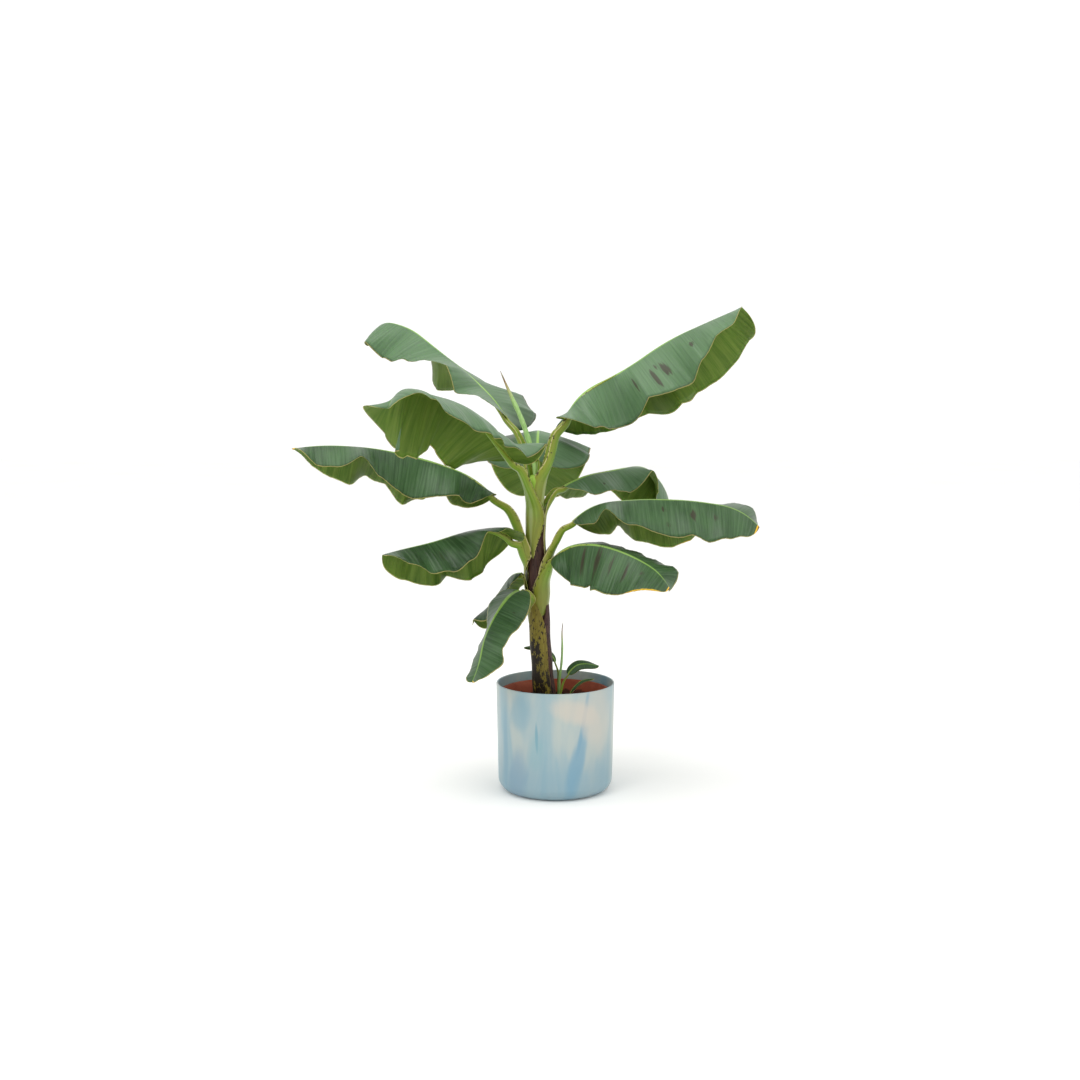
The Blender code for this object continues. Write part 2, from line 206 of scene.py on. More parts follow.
studio = dict(glow=1.08, floor=8.0)         # brightness of the white room, half width of its floor
sky = bpy.data.worlds.new("white_studio")
sky.use_nodes = True
sky.node_tree.nodes["Background"].inputs["Color"].default_value = (1, 1, 1, 1)
sky.node_tree.nodes["Background"].inputs["Strength"].default_value = studio["glow"]
scene.world = sky

corners = [(x * studio["floor"], y * studio["floor"], 0) for x, y in ((-1, -1), (1, -1), (1, 1), (-1, 1))]
floor = newPiece("floor", corners, [(0, 1, 2, 3)])
# a dull white roll of paper, barely grained
paper, add = startMaterial("matt_white_backdrop_paper", {"Roughness": 0.9, "Specular IOR Level": 0.2})
grain = add("TexNoise", Scale=60.0, Detail=3.0)
tint = add("ValToRGB", grain, stops=[(0.3, "#f6f6f4"), (0.7, "#fafaf8")])
paper.node_tree.links.new(tint.outputs[0], paper.node_tree.nodes["Principled BSDF"].inputs["Base Color"])
floor.data.materials.append(paper)
print("camera, light and floor set")


# materials

def makeLeafSkin(name, colours, veins, gloss):
    # living leaf tissue; the upper side has a thin wax film, so it is satin and bluish grey
    # where it catches the light, and the underside is duller and yellower with paler veins
    material, add = startMaterial(name, {
        "Roughness": gloss["roughness"], "Specular IOR Level": gloss["specular"],
        "Sheen Weight": gloss["sheen"], "Sheen Roughness": 0.45, "Sheen Tint": linearColour("#dfe9e4"),
        "Subsurface Weight": gloss["glow"], "Subsurface Radius": (0.35, 1.0, 0.12),
        "Subsurface Scale": 0.0012})
    along, across, toMargin = readPoint(add, "leafPlace")
    ribShare, fromBase, _ = readPoint(add, "leafForm")
    waxAndSheenTone, scar, dryness = readPoint(add, "leafLife")

    # veins run across the leaf, so both patterns are drawn out that way
    fineWay = add("CombineXYZ", along, add("Math", across, 0.025, operation="MULTIPLY"), waxAndSheenTone)
    fine = add("TexNoise", Vector=fineWay, Scale=1 / veins["fine"], Detail=2.0, Roughness=0.6)
    broadWay = add("CombineXYZ", along, add("Math", across, 0.08, operation="MULTIPLY"), waxAndSheenTone)
    broad = add("TexNoise", Vector=broadWay, Scale=1 / veins["broad"], Detail=2.0, Roughness=0.5)
    spot = add("TexCoord").outputs["Object"]
    cloud = add("TexNoise", Vector=spot, Scale=1 / veins["cloud"], Detail=3.0)

    # the bluish grey layer is partly real wax bloom and partly painted sheen on the leaves that catch the
    # sky
    bloomAndSheen = add("Math", waxAndSheenTone, 0.85, operation="MULTIPLY", use_clamp=True)
    rib = add("MapRange", ribShare, 0.75, 1.35, 1.0, 0.0, interpolation_type="SMOOTHSTEP")
    ribPaint = add("MapRange", fromBase, 0.0, 1.0, 0.95, veins["ribEnd"])
    ribMask = add("Math", rib, ribPaint, operation="MULTIPLY")
    # brown bruises run in streaks along the side veins
    streak = add("Math", broad, 0.5, scar, operation="MULTIPLY_ADD")
    streak = add("Math", fine, 1.2, streak, operation="MULTIPLY_ADD")
    # the margin is a thin dry line, drawn 2 mm wide so that it shows
    edge = add("MapRange", toMargin, 0.0011, 0.0024, 0.9, 0.0, interpolation_type="SMOOTHSTEP")
    parched = add("Math", broad, 0.25, dryness, operation="MULTIPLY_ADD")
    colour = paintLayers(add, linearColour(colours["deep"]), [
        (colours["fresh"], cloud, 0.35, 0.65, 1.0, "LINEAR"),
        (colours["bloomAndSheen"], bloomAndSheen),
        (colours["vein"], broad, 0.38, 0.66, veins["broadPale"], "LINEAR"),
        (colours["vein"], fine, 0.40, 0.68, veins["finePale"], "LINEAR"),
        (colours["deep"], fine, 0.44, 0.26, veins["finePale"], "LINEAR"),
        (colours["rib"], ribMask),
        (colours["bruise"], streak, 1.32, 1.55, 0.80),
        (colours["margin"], edge),
        (colours["yellow"], parched, 0.42, 0.62, 1.0),
        (colours["dead"], parched, 0.92, 1.05, 1.0)])
    rough = add("MapRange", cloud, 0.3, 0.7, gloss["roughness"] - 0.06, gloss["roughness"] + 0.10)
    height = add("Math", broad, 2.5, fine, operation="MULTIPLY_ADD")
    return finishMaterial(material, colour, height, gloss["relief"], 0.0004, rough)


leafTop = makeLeafSkin(
    "banana_leaf_upper_skin",
    dict(deep="#163010", fresh="#254719", bloomAndSheen="#5d7a58", vein="#6d8c64", rib="#8cb254",
         bruise="#33261f", margin="#b5aa6a", yellow="#e2b42e", dead="#5a2c18"),
    dict(fine=0.0024, broad=0.0075, cloud=0.070, broadPale=0.04, finePale=0.22, ribEnd=0.55),
    dict(roughness=0.37, specular=0.22, relief=0.30, sheen=0.015, glow=0.08))
leafUnder = makeLeafSkin(
    "banana_leaf_underside",
    dict(deep="#2f4a0c", fresh="#415d13", bloomAndSheen="#4c681a", vein="#778a3c", rib="#7f9438",
         bruise="#4b3d24", margin="#b5aa6a", yellow="#d9a92c", dead="#5a2c18"),
    dict(fine=0.0017, broad=0.0090, cloud=0.070, broadPale=0.34, finePale=0.26, ribEnd=0.9),
    dict(roughness=0.55, specular=0.16, relief=0.45, sheen=0.0, glow=0.20))


def makeStalkSkin():
    # smooth, firm and slightly waxy; the sheath at its foot is paler, with dry margins
    material, add = startMaterial("banana_stalk_skin", {
        "Roughness": 0.36, "Specular IOR Level": 0.28, "Subsurface Weight": 0.10,
        "Subsurface Radius": (0.6, 1.0, 0.2), "Subsurface Scale": 0.003})
    along, side, free = readPoint(add, "stalkPlace")    # metres up, -1 to 1 across, 0 sheath to 1 stalk
    specks, _, olive = readPoint(add, "stalkState")
    bandWay = add("CombineXYZ", along, side, specks)
    bandScale = add("VectorMath", bandWay, (9.0, 7.0, 3.0), operation="MULTIPLY")
    fibre = add("TexNoise", Vector=bandScale, Scale=1.0, Detail=4.0, Roughness=0.6)
    spot = add("TexCoord").outputs["Object"]
    mottle = add("TexNoise", Vector=spot, Scale=55.0, Detail=3.0)
    fleck = add("TexNoise", Vector=spot, Scale=210.0, Detail=2.0)
    spread = add("Math", side, operation="ABSOLUTE")
    oliveShare = add("Math", olive, mottle, operation="MULTIPLY", use_clamp=True)
    nearEdge = add("MapRange", spread, 0.70, 1.0, 0.0, 0.20)
    flecked = add("Math", nearEdge, specks, fleck, operation="MULTIPLY_ADD")
    colour = paintLayers(add, linearColour("#687c30"), [
        ("#668a20", free),
        ("#93ad4e", fibre, 0.42, 0.70, 0.50, "LINEAR"),
        ("#a9bb86", spread, 0.22, 0.04, 0.55),      # a pale waxy streak down the middle, partly a painted highlight
        ("#8c7a34", oliveShare),
        ("#83842c", spread, 0.34, 0.80, 0.62),      # duller flanks
        ("#bdb27c", spread, 0.90, 0.95, 0.90),      # dry edges
        ("#2b1c12", flecked, 0.70, 0.74, 0.9)])     # dark flecks
    return finishMaterial(material, colour, fibre, 0.35, 0.0006)


def makeStemSkin(name, colours, blotch):
    # old sheaths: olive where alive, purple-brown where drying, with black rotted blotches
    material, add = startMaterial(name, {"Roughness": 0.50, "Specular IOR Level": 0.2})
    bearing, height, side = readPoint(add, "stemPlace")     # turns round it, metres up, -1 to 1 across
    spot = add("TexCoord").outputs["Object"]
    longWay, patchWay, dashWay = [add("VectorMath", spot, (1.0, 1.0, upright), operation="MULTIPLY")
                                  for upright in (0.10, 0.55, 0.35)]
    fibre = add("TexNoise", Vector=longWay, Scale=420.0, Detail=3.0, Roughness=0.6)
    shade = add("TexNoise", Vector=longWay, Scale=110.0, Detail=3.0)
    patch = add("TexNoise", Vector=patchWay, Scale=90.0, Detail=6.0, Roughness=0.70)
    dash = add("TexNoise", Vector=dashWay, Scale=340.0, Detail=2.0, Roughness=0.5)
    # blotches gather low down and on one side, and small black dots and dashes start higher up
    lowDown = add("MapRange", height, blotch["top"], blotch["full"], 0.0, blotch["most"])
    turned = add("MapRange", bearing, blotch["from"], blotch["to"], 0.0, blotch["sideMost"],
                 interpolation_type="SMOOTHSTEP")
    rot = add("Math", add("Math", lowDown, turned, operation="ADD"), patch, operation="ADD")
    dotted = add("Math", dash, add("MapRange", height, 0.50, 0.30, 0.02, 0.12), operation="ADD")
    spread = add("Math", side, operation="ABSOLUTE")
    colour = paintLayers(add, linearColour(colours["low"]), [
        (colours["high"], shade),
        (colours["thread"], fibre, 0.45, 0.75, 0.55, "LINEAR"),
        ("#86a83c", height, 0.515, 0.560, 1.0),     # still green at the top
        (colours["rot"], rot, 0.71, 0.76, 0.95),
        (colours["rot"], dotted, 0.70, 0.74, 0.9),
        (colours["edge"], spread, 0.955, 0.985, 0.7)])
    rough = add("MapRange", shade, 0.3, 0.7, 0.34, 0.58)
    return finishMaterial(material, colour, fibre, 0.5, 0.0008, rough)


stalkSkin = makeStalkSkin()
oliveSheath = makeStemSkin(
    "ageing_green_sheath",
    dict(low="#5a5018", high="#82752c", thread="#94873e", rot="#1a1210", edge="#b0965a"),
    {"top": 0.320, "full": 0.230, "most": 0.20, "from": -0.21, "to": -0.30, "sideMost": 0.13})
brownSheath = makeStemSkin(
    "drying_brown_sheath",
    dict(low="#281613", high="#4b2f29", thread="#6b5146", rot="#120b0a", edge="#8a7355"),
    {"top": 0.330, "full": 0.250, "most": 0.14, "from": -0.10, "to": -0.20, "sideMost": 0.14})
coreSkin = makeStemSkin(
    "dried_inner_sheath",
    dict(low="#1e100e", high="#472c25", thread="#67503d", rot="#0f0908", edge="#8a7355"),
    {"top": 0.60, "full": 0.30, "most": 0.03, "from": 0.5, "to": 0.6, "sideMost": 0.0})


# the plant's rule: how paths, stem and blades run

potHeight, rimDrop, soilDrop, gap = 0.203, 0.016, 0.026, 0.0003
soilTop = potHeight - rimDrop - soilDrop
stem = dict(footX=-0.0190, lean=0.0185, foot=soilTop + gap, top=0.585,
            radii=(0.0245, 0.0202, 0.0185, 0.0184, 0.0182, 0.0172, 0.0160))
stalkSizes = dict(widths=(0.0110, 0.0085, 0.0062), heights=(0.0064, 0.0082, 0.0060),
                  shootWidths=(0.0075, 0.0070, 0.0056))


def eased(values, share):
    share = np.clip(np.asarray(share, float), 0.0, 1.0)
    values = np.asarray(values, float)
    place = share * (len(values) - 1)
    knot = np.clip(place.astype(int), 0, len(values) - 2)
    part = place - knot
    part = 0.5 * part + 0.5 * part * part * (3 - 2 * part)
    return values[knot] + (values[knot + 1] - values[knot]) * part


def smooth(low, high, value):
    part = np.clip((np.asarray(value, float) - low) / (high - low), 0.0, 1.0)
    return part * part * (3 - 2 * part)


def walk(start, length, turns, rises, count):
    share = (np.arange(count) + 0.5) / count
    turn = np.radians(eased(turns, share))
    rise = np.radians(eased(rises, share))
    steps = np.stack([np.cos(turn) * np.cos(rise), np.sin(turn) * np.cos(rise), np.sin(rise)], 1)
    return np.vstack([[start], start + np.cumsum(steps * (length / count), 0)])


def directions(along, heading):
    along = along / np.linalg.norm(along, axis=1)[:, None]
    across = np.stack([-np.sin(heading), np.cos(heading), np.zeros(len(heading))], 1)
    return along, across, np.cross(along, across)


def stemCentre(height):
    share = (height - stem["foot"]) / (stem["top"] - stem["foot"])
    return np.array([stem["footX"] - stem["lean"] * (1 - (1 - share) ** 2), 0.0, height])


def stemRadius(height):
    return eased(stem["radii"], (height - stem["foot"]) / (stem["top"] - stem["foot"]))


def leafPaths(leaf):
    first = leaf["turn"]
    last = first + leaf["bend"]
    middle = first + leaf["bend"] * leaf["stalk"] / (leaf["stalk"] + leaf["blade"])
    if "foot" in leaf:
        start = np.array([*leaf["foot"], soilTop + gap])
    else:
        seat = radians(leaf.get("seat", first))
        start = stemCentre(leaf["height"]) + leaf["off"] * np.array([cos(seat), sin(seat), 0.0])
    stalk = walk(start, leaf["stalk"], (first, middle), leaf["climb"], 60)
    midrib = walk(stalk[-1], leaf["blade"], (middle, last), (leaf["climb"][-1], *leaf["rises"]), 240)
    return stalk, (first, middle), midrib, (middle, last)


# The sizes are the solids', but for the hang and curl at the base of upper_left and the hang at
# the base of top_right.  waxAndSheenTone goes from 0, dark and old, to 1, young and bluish; it
# is set higher on leaves that catch the sky, so its grey is partly real wax and partly a painted
# sheen.  wave holds degrees, number of waves and start, and thinMargin above 1 narrows the thin,
# dry margin.
# nicks, scars and dry hold (side, place along, ...) with side 1 for left and -1 for right of
# the midrib: nicks (side, place, depth, width), scars (side, place, place across, half length
# along in mm, half length across in mm, strength), dry (side, place, half width, strength).
leaves = {
    "top_right": dict(
        turn=22, bend=-33, height=0.583, off=0.0100, seat=-10, girth=0.83,
        stalk=0.117, climb=(69, 65), blade=0.391, rises=(25, 35, 24, 23),
        wide=(0.121, 0.087), shoulders=(0.10, 0.45), lean=(-0.30, 0.35),
        left=(8, 32, 50, 55, 60, 110, 70, 65, 50, 40, 50),
        right=(-42, 35, 65, 80, 35, 50, 60, 40, 25, 25, 0),
        reach=((1.10, 0.95, 1.20), (0.90, 1.20, 0.85)),
        wave=(3, 6, 0.55), waxAndSheenTone=0.80, specks=0.8,
        scars=((-1, 0.47, 0.60, 5, 32, 1.0), (-1, 0.53, 0.50, 8, 22, 0.9),
               (-1, 0.70, 0.45, 6, 10, 0.85), (-1, 0.385, 0.50, 6, 30, 0.55),
               (-1, 0.50, 0.35, 4, 12, 0.6))),
    "top_left": dict(
        turn=145, bend=0, height=0.583, off=0.0100, seat=159, girth=0.75,
        stalk=0.124, climb=(78, 50), blade=0.404, rises=(38, 31, 32, 10, -77),
        wide=(0.080, 0.133), shoulders=(0.12, 0.45),
        left=(-30, -15, 5, -15, 0, 20, 45, 60, 40, 30, 25),
        right=(30, 10, 10, 20, 30, 55, 40, 25, 30, 35, 40),
        reach=((1.00, 1.00, 0.95), (1.15, 0.95, 1.00)),
        waxAndSheenTone=0.75, specks=0.3),
    "upper_left": dict(
        turn=234, bend=1, height=0.540, off=0.0100, seat=243, girth=1.00,
        stalk=0.104, climb=(65, 37), blade=0.387, rises=(38, 32, 11, 12, -60),
        wide=(0.113, 0.126), shoulders=(0.16, 0.75), lean=(0.05, 0.25),
        left=(15, -8, 20, 25, 30, 30, 30, 30, 30, 25, 15, -10, -35),
        right=(10, 30, 50, 60, 65, 70, 75, 80, 90, 85, 90, 60, -35),
        reach=((0.95, 0.90, 1.15, 0.90, 0.90), (0.60, 0.75, 0.70, 1.15, 1.35)),
        curl=((20, 40, 40, 35, 35, 35, 35), (12, 12)),
        waxAndSheenTone=0.70, specks=1.0,
        nicks=((-1, 0.72, 0.05, 0.012),)),
    "back": dict(
        turn=88, bend=4, height=0.583, off=0.0100, seat=72, girth=0.60,
        stalk=0.036, climb=(74, 55), blade=0.380, rises=(6, -22, -42, -55),
        wide=(0.108, 0.106), shoulders=(0.20, 0.65),
        left=(35, 25, 15, 5, 10, 20, 30),
        right=(40, 25, 20, 20, 25, 30, 40),
        waxAndSheenTone=0.95, specks=0.3),
    "right_back": dict(
        turn=34, bend=12, height=0.518, off=0.0120,
        stalk=0.072, climb=(61, 24), blade=0.334, rises=(5, 4, -41, -79),
        wide=(0.083, 0.067), shoulders=(0.25, 0.60), lean=(-0.15, 0.25),
        left=(25, 35, 40, 35, 35, 60, 80, 100, 110),
        right=(15, 35, 30, 45, 5, 45, 65, 60, 55),
        reach=((1.00, 1.05, 0.95), (0.85, 0.90, 1.00)),
        waxAndSheenTone=0.72, specks=0.4,
        scars=((-1, 0.22, 0.62, 3, 5, 1.0),)),
    "left": dict(
        turn=198, bend=-5, height=0.454, off=0.0120,
        stalk=0.121, climb=(65, 46), blade=0.388, rises=(21, 13, 4, -8),
        wide=(0.080, 0.091), shoulders=(0.30, 0.68), lean=(0.00, 0.05),
        left=(-10, 50, 35, 45, 70, 55, 35, 10, 35, 40, -10),
        right=(110, 60, 30, 50, 65, 40, 35, 55, 55, 45, 5),
        reach=((0.95, 1.00, 1.05), (0.90, 1.15, 1.05)),
        waxAndSheenTone=0.16, specks=0.7,
        dry=((1, 1.0, 0.02, 0.9), (-1, 1.0, 0.02, 0.9))),
    "right": dict(
        turn=-7, bend=2, height=0.434, off=0.0120,
        stalk=0.090, climb=(62, 44), blade=0.364, rises=(6, -1, -9, -46),
        wide=(0.095, 0.092), shoulders=(0.30, 0.55), lean=(0.00, 0.25),
        left=(70, 55, 35, 55, 65, 70, 55, 25, 0, -15, 5),
        right=(30, 25, 5, 25, 30, 40, 35, 45, 40, 35, 40),
        reach=((1.05, 1.05, 0.95), (0.80, 1.05, 1.05)),
        waxAndSheenTone=0.28, specks=0.6,
        scars=((-1, 0.62, 0.45, 7, 16, 0.85), (-1, 0.48, 0.30, 6, 10, 0.70),
               (-1, 0.50, 0.70, 6, 8, 0.65), (-1, 0.74, 0.40, 5, 14, 0.75),
               (-1, 0.60, 0.90, 5, 6, 0.7), (-1, 0.30, 0.5, 10, 22, 0.45)),
        dry=((-1, 1.0, 0.02, 1.0), (1, 0.58, 0.09, 0.45))),
    "lower_left": dict(
        turn=204, bend=8, height=0.419, off=0.0120,
        stalk=0.066, climb=(70, 42), blade=0.268, rises=(-3, -14, -8, -11),
        wide=(0.086, 0.087), shoulders=(0.25, 0.55), lean=(-0.15, 0.20),
        left=(0, -5, -5, -5, 20, 30, 30, 15, -5),
        right=(85, 70, 75, 85, 60, 75, 65, 70, 65),
        reach=((1.05, 1.10, 0.95), (0.90, 1.10, 0.85)),
        waxAndSheenTone=0.08, specks=0.8,
        scars=((1, 0.35, 0.4, 10, 20, 0.4), (1, 0.65, 0.5, 9, 24, 0.4))),
    "lower_right": dict(
        turn=-36, bend=6, height=0.389, off=0.0120,
        stalk=0.056, climb=(88, 44), blade=0.272, rises=(8, -12, -24, -55),
        wide=(0.076, 0.085), shoulders=(0.25, 0.55), lean=(0.00, 0.35),
        left=(20, 0, 5, 10, 10, 10, 5, -10, 45),
        right=(30, 65, 55, 60, 50, 50, 35, 15, 0),
        reach=((1.00, 1.00, 0.95), (0.95, 1.05, 0.95)),
        waxAndSheenTone=0.20, specks=0.8,
        scars=((-1, 0.30, 0.40, 5, 30, 0.75), (-1, 0.42, 0.35, 7, 36, 0.85),
               (-1, 0.54, 0.40, 4, 30, 0.65), (-1, 0.66, 0.45, 5, 24, 0.75),
               (-1, 0.78, 0.35, 8, 10, 0.6)),
        dry=((-1, 0.84, 0.13, 0.76), (-1, 1.0, 0.02, 1.0)),
        nicks=((-1, 0.4, 0.1, 0.012),)),
    "low_back": dict(
        turn=149, bend=15, height=0.399, off=0.0120,
        stalk=0.023, climb=(39, -2), blade=0.143, rises=(-52, -57, -45, -47),
        wide=(0.053, 0.051), shoulders=(0.30, 0.55),
        left=(25, 30, 30, 35, 30, 5, 20),
        right=(35, 25, 20, 15, 20, 50, 75),
        reach=((1.00, 1.00, 0.95), (1.00, 1.00, 1.05)),
        waxAndSheenTone=0.10, specks=0.4),
    "front": dict(
        turn=236, bend=-13, height=0.363, off=0.0120,
        stalk=0.048, climb=(43, 4), blade=0.214, rises=(-36, -54, -76, -57),
        wide=(0.058, 0.054), shoulders=(0.25, 0.75), lean=(-0.05, 0.35),
        left=(-5, 15, 25, 20, 5, 0, 25, -5, -25),
        right=(-5, 15, 25, 40, 45, 40, 30, 20, 0),
        reach=((0.80, 1.00, 0.95), (0.95, 0.95, 1.05)),
        waxAndSheenTone=0.26, specks=0.5,
        scars=((1, 0.3, 0.55, 3, 5, 0.7),),
        dry=((1, 1.0, 0.02, 1.0),)),
}
shoots = {
    "shoot_left": dict(
        turn=160, bend=6, foot=(0.0040, 0.0200), girth=0.30,
        stalk=0.075, climb=(94, 91, 88, 70), blade=0.072,
        rises=(30, 6, -10), wide=(0.008, 0.008), left=(70, 60, 50), right=(-20, -20, -10),
        wave=(0, 1, 0), shoulders=(0.30, 0.60), waxAndSheenTone=0.15, thinMargin=2.6),
    "shoot_right": dict(
        turn=2, bend=-2, foot=(0.0082, 0.0045), girth=0.30,
        stalk=0.057, climb=(84, 78, 58), blade=0.066,
        rises=(42, 8, -12, -8), wide=(0.011, 0.011), left=(-50, -40, -20, 0), right=(70, 65, 60),
        wave=(0, 1, 0), shoulders=(0.30, 0.65), waxAndSheenTone=0.30, thinMargin=2.6),
    "shoot_low": dict(
        turn=-4, bend=4, foot=(0.0220, 0.0060), girth=0.30,
        stalk=0.018, climb=(80, 70), blade=0.058,
        rises=(50, 36, 8, 2), wide=(0.0050, 0.0060), left=(30, 30, 20), right=(65, 60, 55),
        wave=(0, 1, 0), shoulders=(0.30, 0.60), waxAndSheenTone=0.05, thinMargin=2.6),
}


# leaf blades: a sheet by the rule, then pleats, rib and thickness by a node tree

bladeMesh = dict(stations=300, strips=16, crowd=1.5, ribBase=0.0046, ribTip=0.0009)
bladeSkin = {"Pleat Spacing": 0.0095, "Pleat Depth": 0.00016, "Thickness": 0.0007,
             "Rib Depth": 0.0042, "Groove Depth": 0.0007, "Ruffle": 0.0012}
shootMesh = dict(stations=60, strips=6)
shootSkin = {"Pleat Spacing": 0.0022, "Pleat Depth": 0.00003, "Thickness": 0.0004,
             "Rib Depth": 0.0012, "Groove Depth": 0.0002, "Ruffle": 0.0002}
dryRim, deadTip = 0.0050, 0.006             # how far dryness reaches in from a margin or a tip


def outlineShare(leaf, share):
    base, tip = leaf["shoulders"]
    nearBase = np.clip(1 - share / base, 0, 1)
    nearTip = np.clip((share - (1 - tip)) / tip, 0, 1)
    return np.maximum(np.sqrt(1 - nearBase ** 2.2) * np.sqrt(1 - nearTip ** 2.4), 0.012)


def halfWidth(leaf, side, share):
    number = 0 if side > 0 else 1
    half = leaf["wide"][number] * outlineShare(leaf, share)
    if "reach" in leaf:
        half = half * eased(leaf["reach"][number], share)
    for where, spot, depth, width in leaf.get("nicks", ()):
        if where == side:                   # a torn edge: it opens slowly and closes at once
            gash = (share - spot) / width
            torn = np.where(gash < 0, np.clip(1 + gash / 4, 0, 1), np.clip(1 - gash, 0, 1))
            half = half * (1 - depth * torn)
    return half


def marks(leaf, side, share, out, away):    # scars and dryness on one line along the leaf
    scar, dry = np.zeros(len(share)), np.zeros(len(share))
    for where, spot, far, length, width, strength in leaf.get("scars", ()):
        if where == side:
            gone = ((share - spot) * leaf["blade"] * 1000 / length) ** 2
            gone = gone + ((out - far) * leaf["wide"][0] * 1000 / width) ** 2
            scar = np.maximum(scar, strength * np.exp(-0.7 * gone))
    for where, spot, width, strength in leaf.get("dry", ()):
        if where == side:
            inward = away / dryRim
            if width < 0.03:                # a dead tip reaches in along the midrib
                inward = (1 - share) * leaf["blade"] / deadTip
            dry = np.maximum(dry, strength * np.exp(-((share - spot) / width) ** 4 - inward ** 2))
    return scar, dry


def bladeSheet(leaf, stations, strips):
    _, _, midrib, turns = leafPaths(leaf)
    even = np.linspace(0, 1, stations + 1)
    share = even - 0.45 * np.sin(2 * pi * even) / (2 * pi)      # closer stations at both ends
    place, own = share * (len(midrib) - 1), np.arange(len(midrib))
    points, slope = [np.stack([np.interp(place, own, line[:, k]) for k in range(3)], 1)
                     for line in (midrib, np.gradient(midrib, axis=0))]
    along, across, over = directions(slope, np.radians(eased(turns, share)))
    lines = (np.arange(strips + 1) / strips) ** bladeMesh["crowd"]
    grid = np.zeros((stations + 1, 2 * strips + 1, 3))
    metres, form, life = np.zeros_like(grid), np.zeros_like(grid), np.zeros_like(grid)
    grid[:, strips] = points
    swing, waves, start = leaf.get("wave", (3, 7, 0.1))
    lean = leaf.get("lean", (-0.15, 0.35))
    lean = lean[0] + (lean[1] - lean[0]) * share
    ribHalf = bladeMesh["ribBase"] + (bladeMesh["ribTip"] - bladeMesh["ribBase"]) * share
    ribHalf = leaf.get("girth", 1.0) * ribHalf
    for number, (side, key, lag) in enumerate(((1, "left", 0.0), (-1, "right", 0.23))):
        half = halfWidth(leaf, side, share)
        hang = eased(leaf[key], share)
        curl = eased(leaf.get("curl", ((12, 12), (12, 12)))[number], share)
        here = points.copy()
        for strip in range(strips + 1):
            column = strips + side * strip
            if strip:
                out = (lines[strip - 1] + lines[strip]) / 2
                ripple = swing * out * np.sin(2 * pi * (waves * share + start + lag))
                angle = np.radians(hang + curl * (out - 0.5) + ripple)
                step = across * side * np.cos(angle)[:, None] - over * np.sin(angle)[:, None]
                step = step + along * lean[:, None]
                here = here + step * (half * (lines[strip] - lines[strip - 1]))[:, None]
                grid[:, column] = here
            away = half * lines[strip]
            toMargin = (half - away) * leaf.get("thinMargin", 1.0)
            metres[:, column] = np.stack([share * leaf["blade"], side * away, toMargin], 1)
            form[:, column] = np.stack([away / ribHalf, share, side * lines[strip] + 0 * share], 1)
            scar, dry = marks(leaf, side, share, lines[strip], half - away)
            life[:, column] = np.stack([leaf["waxAndSheenTone"] + 0 * share, scar, dry], 1)
    return grid, {"leafPlace": metres, "leafForm": form, "leafLife": life}


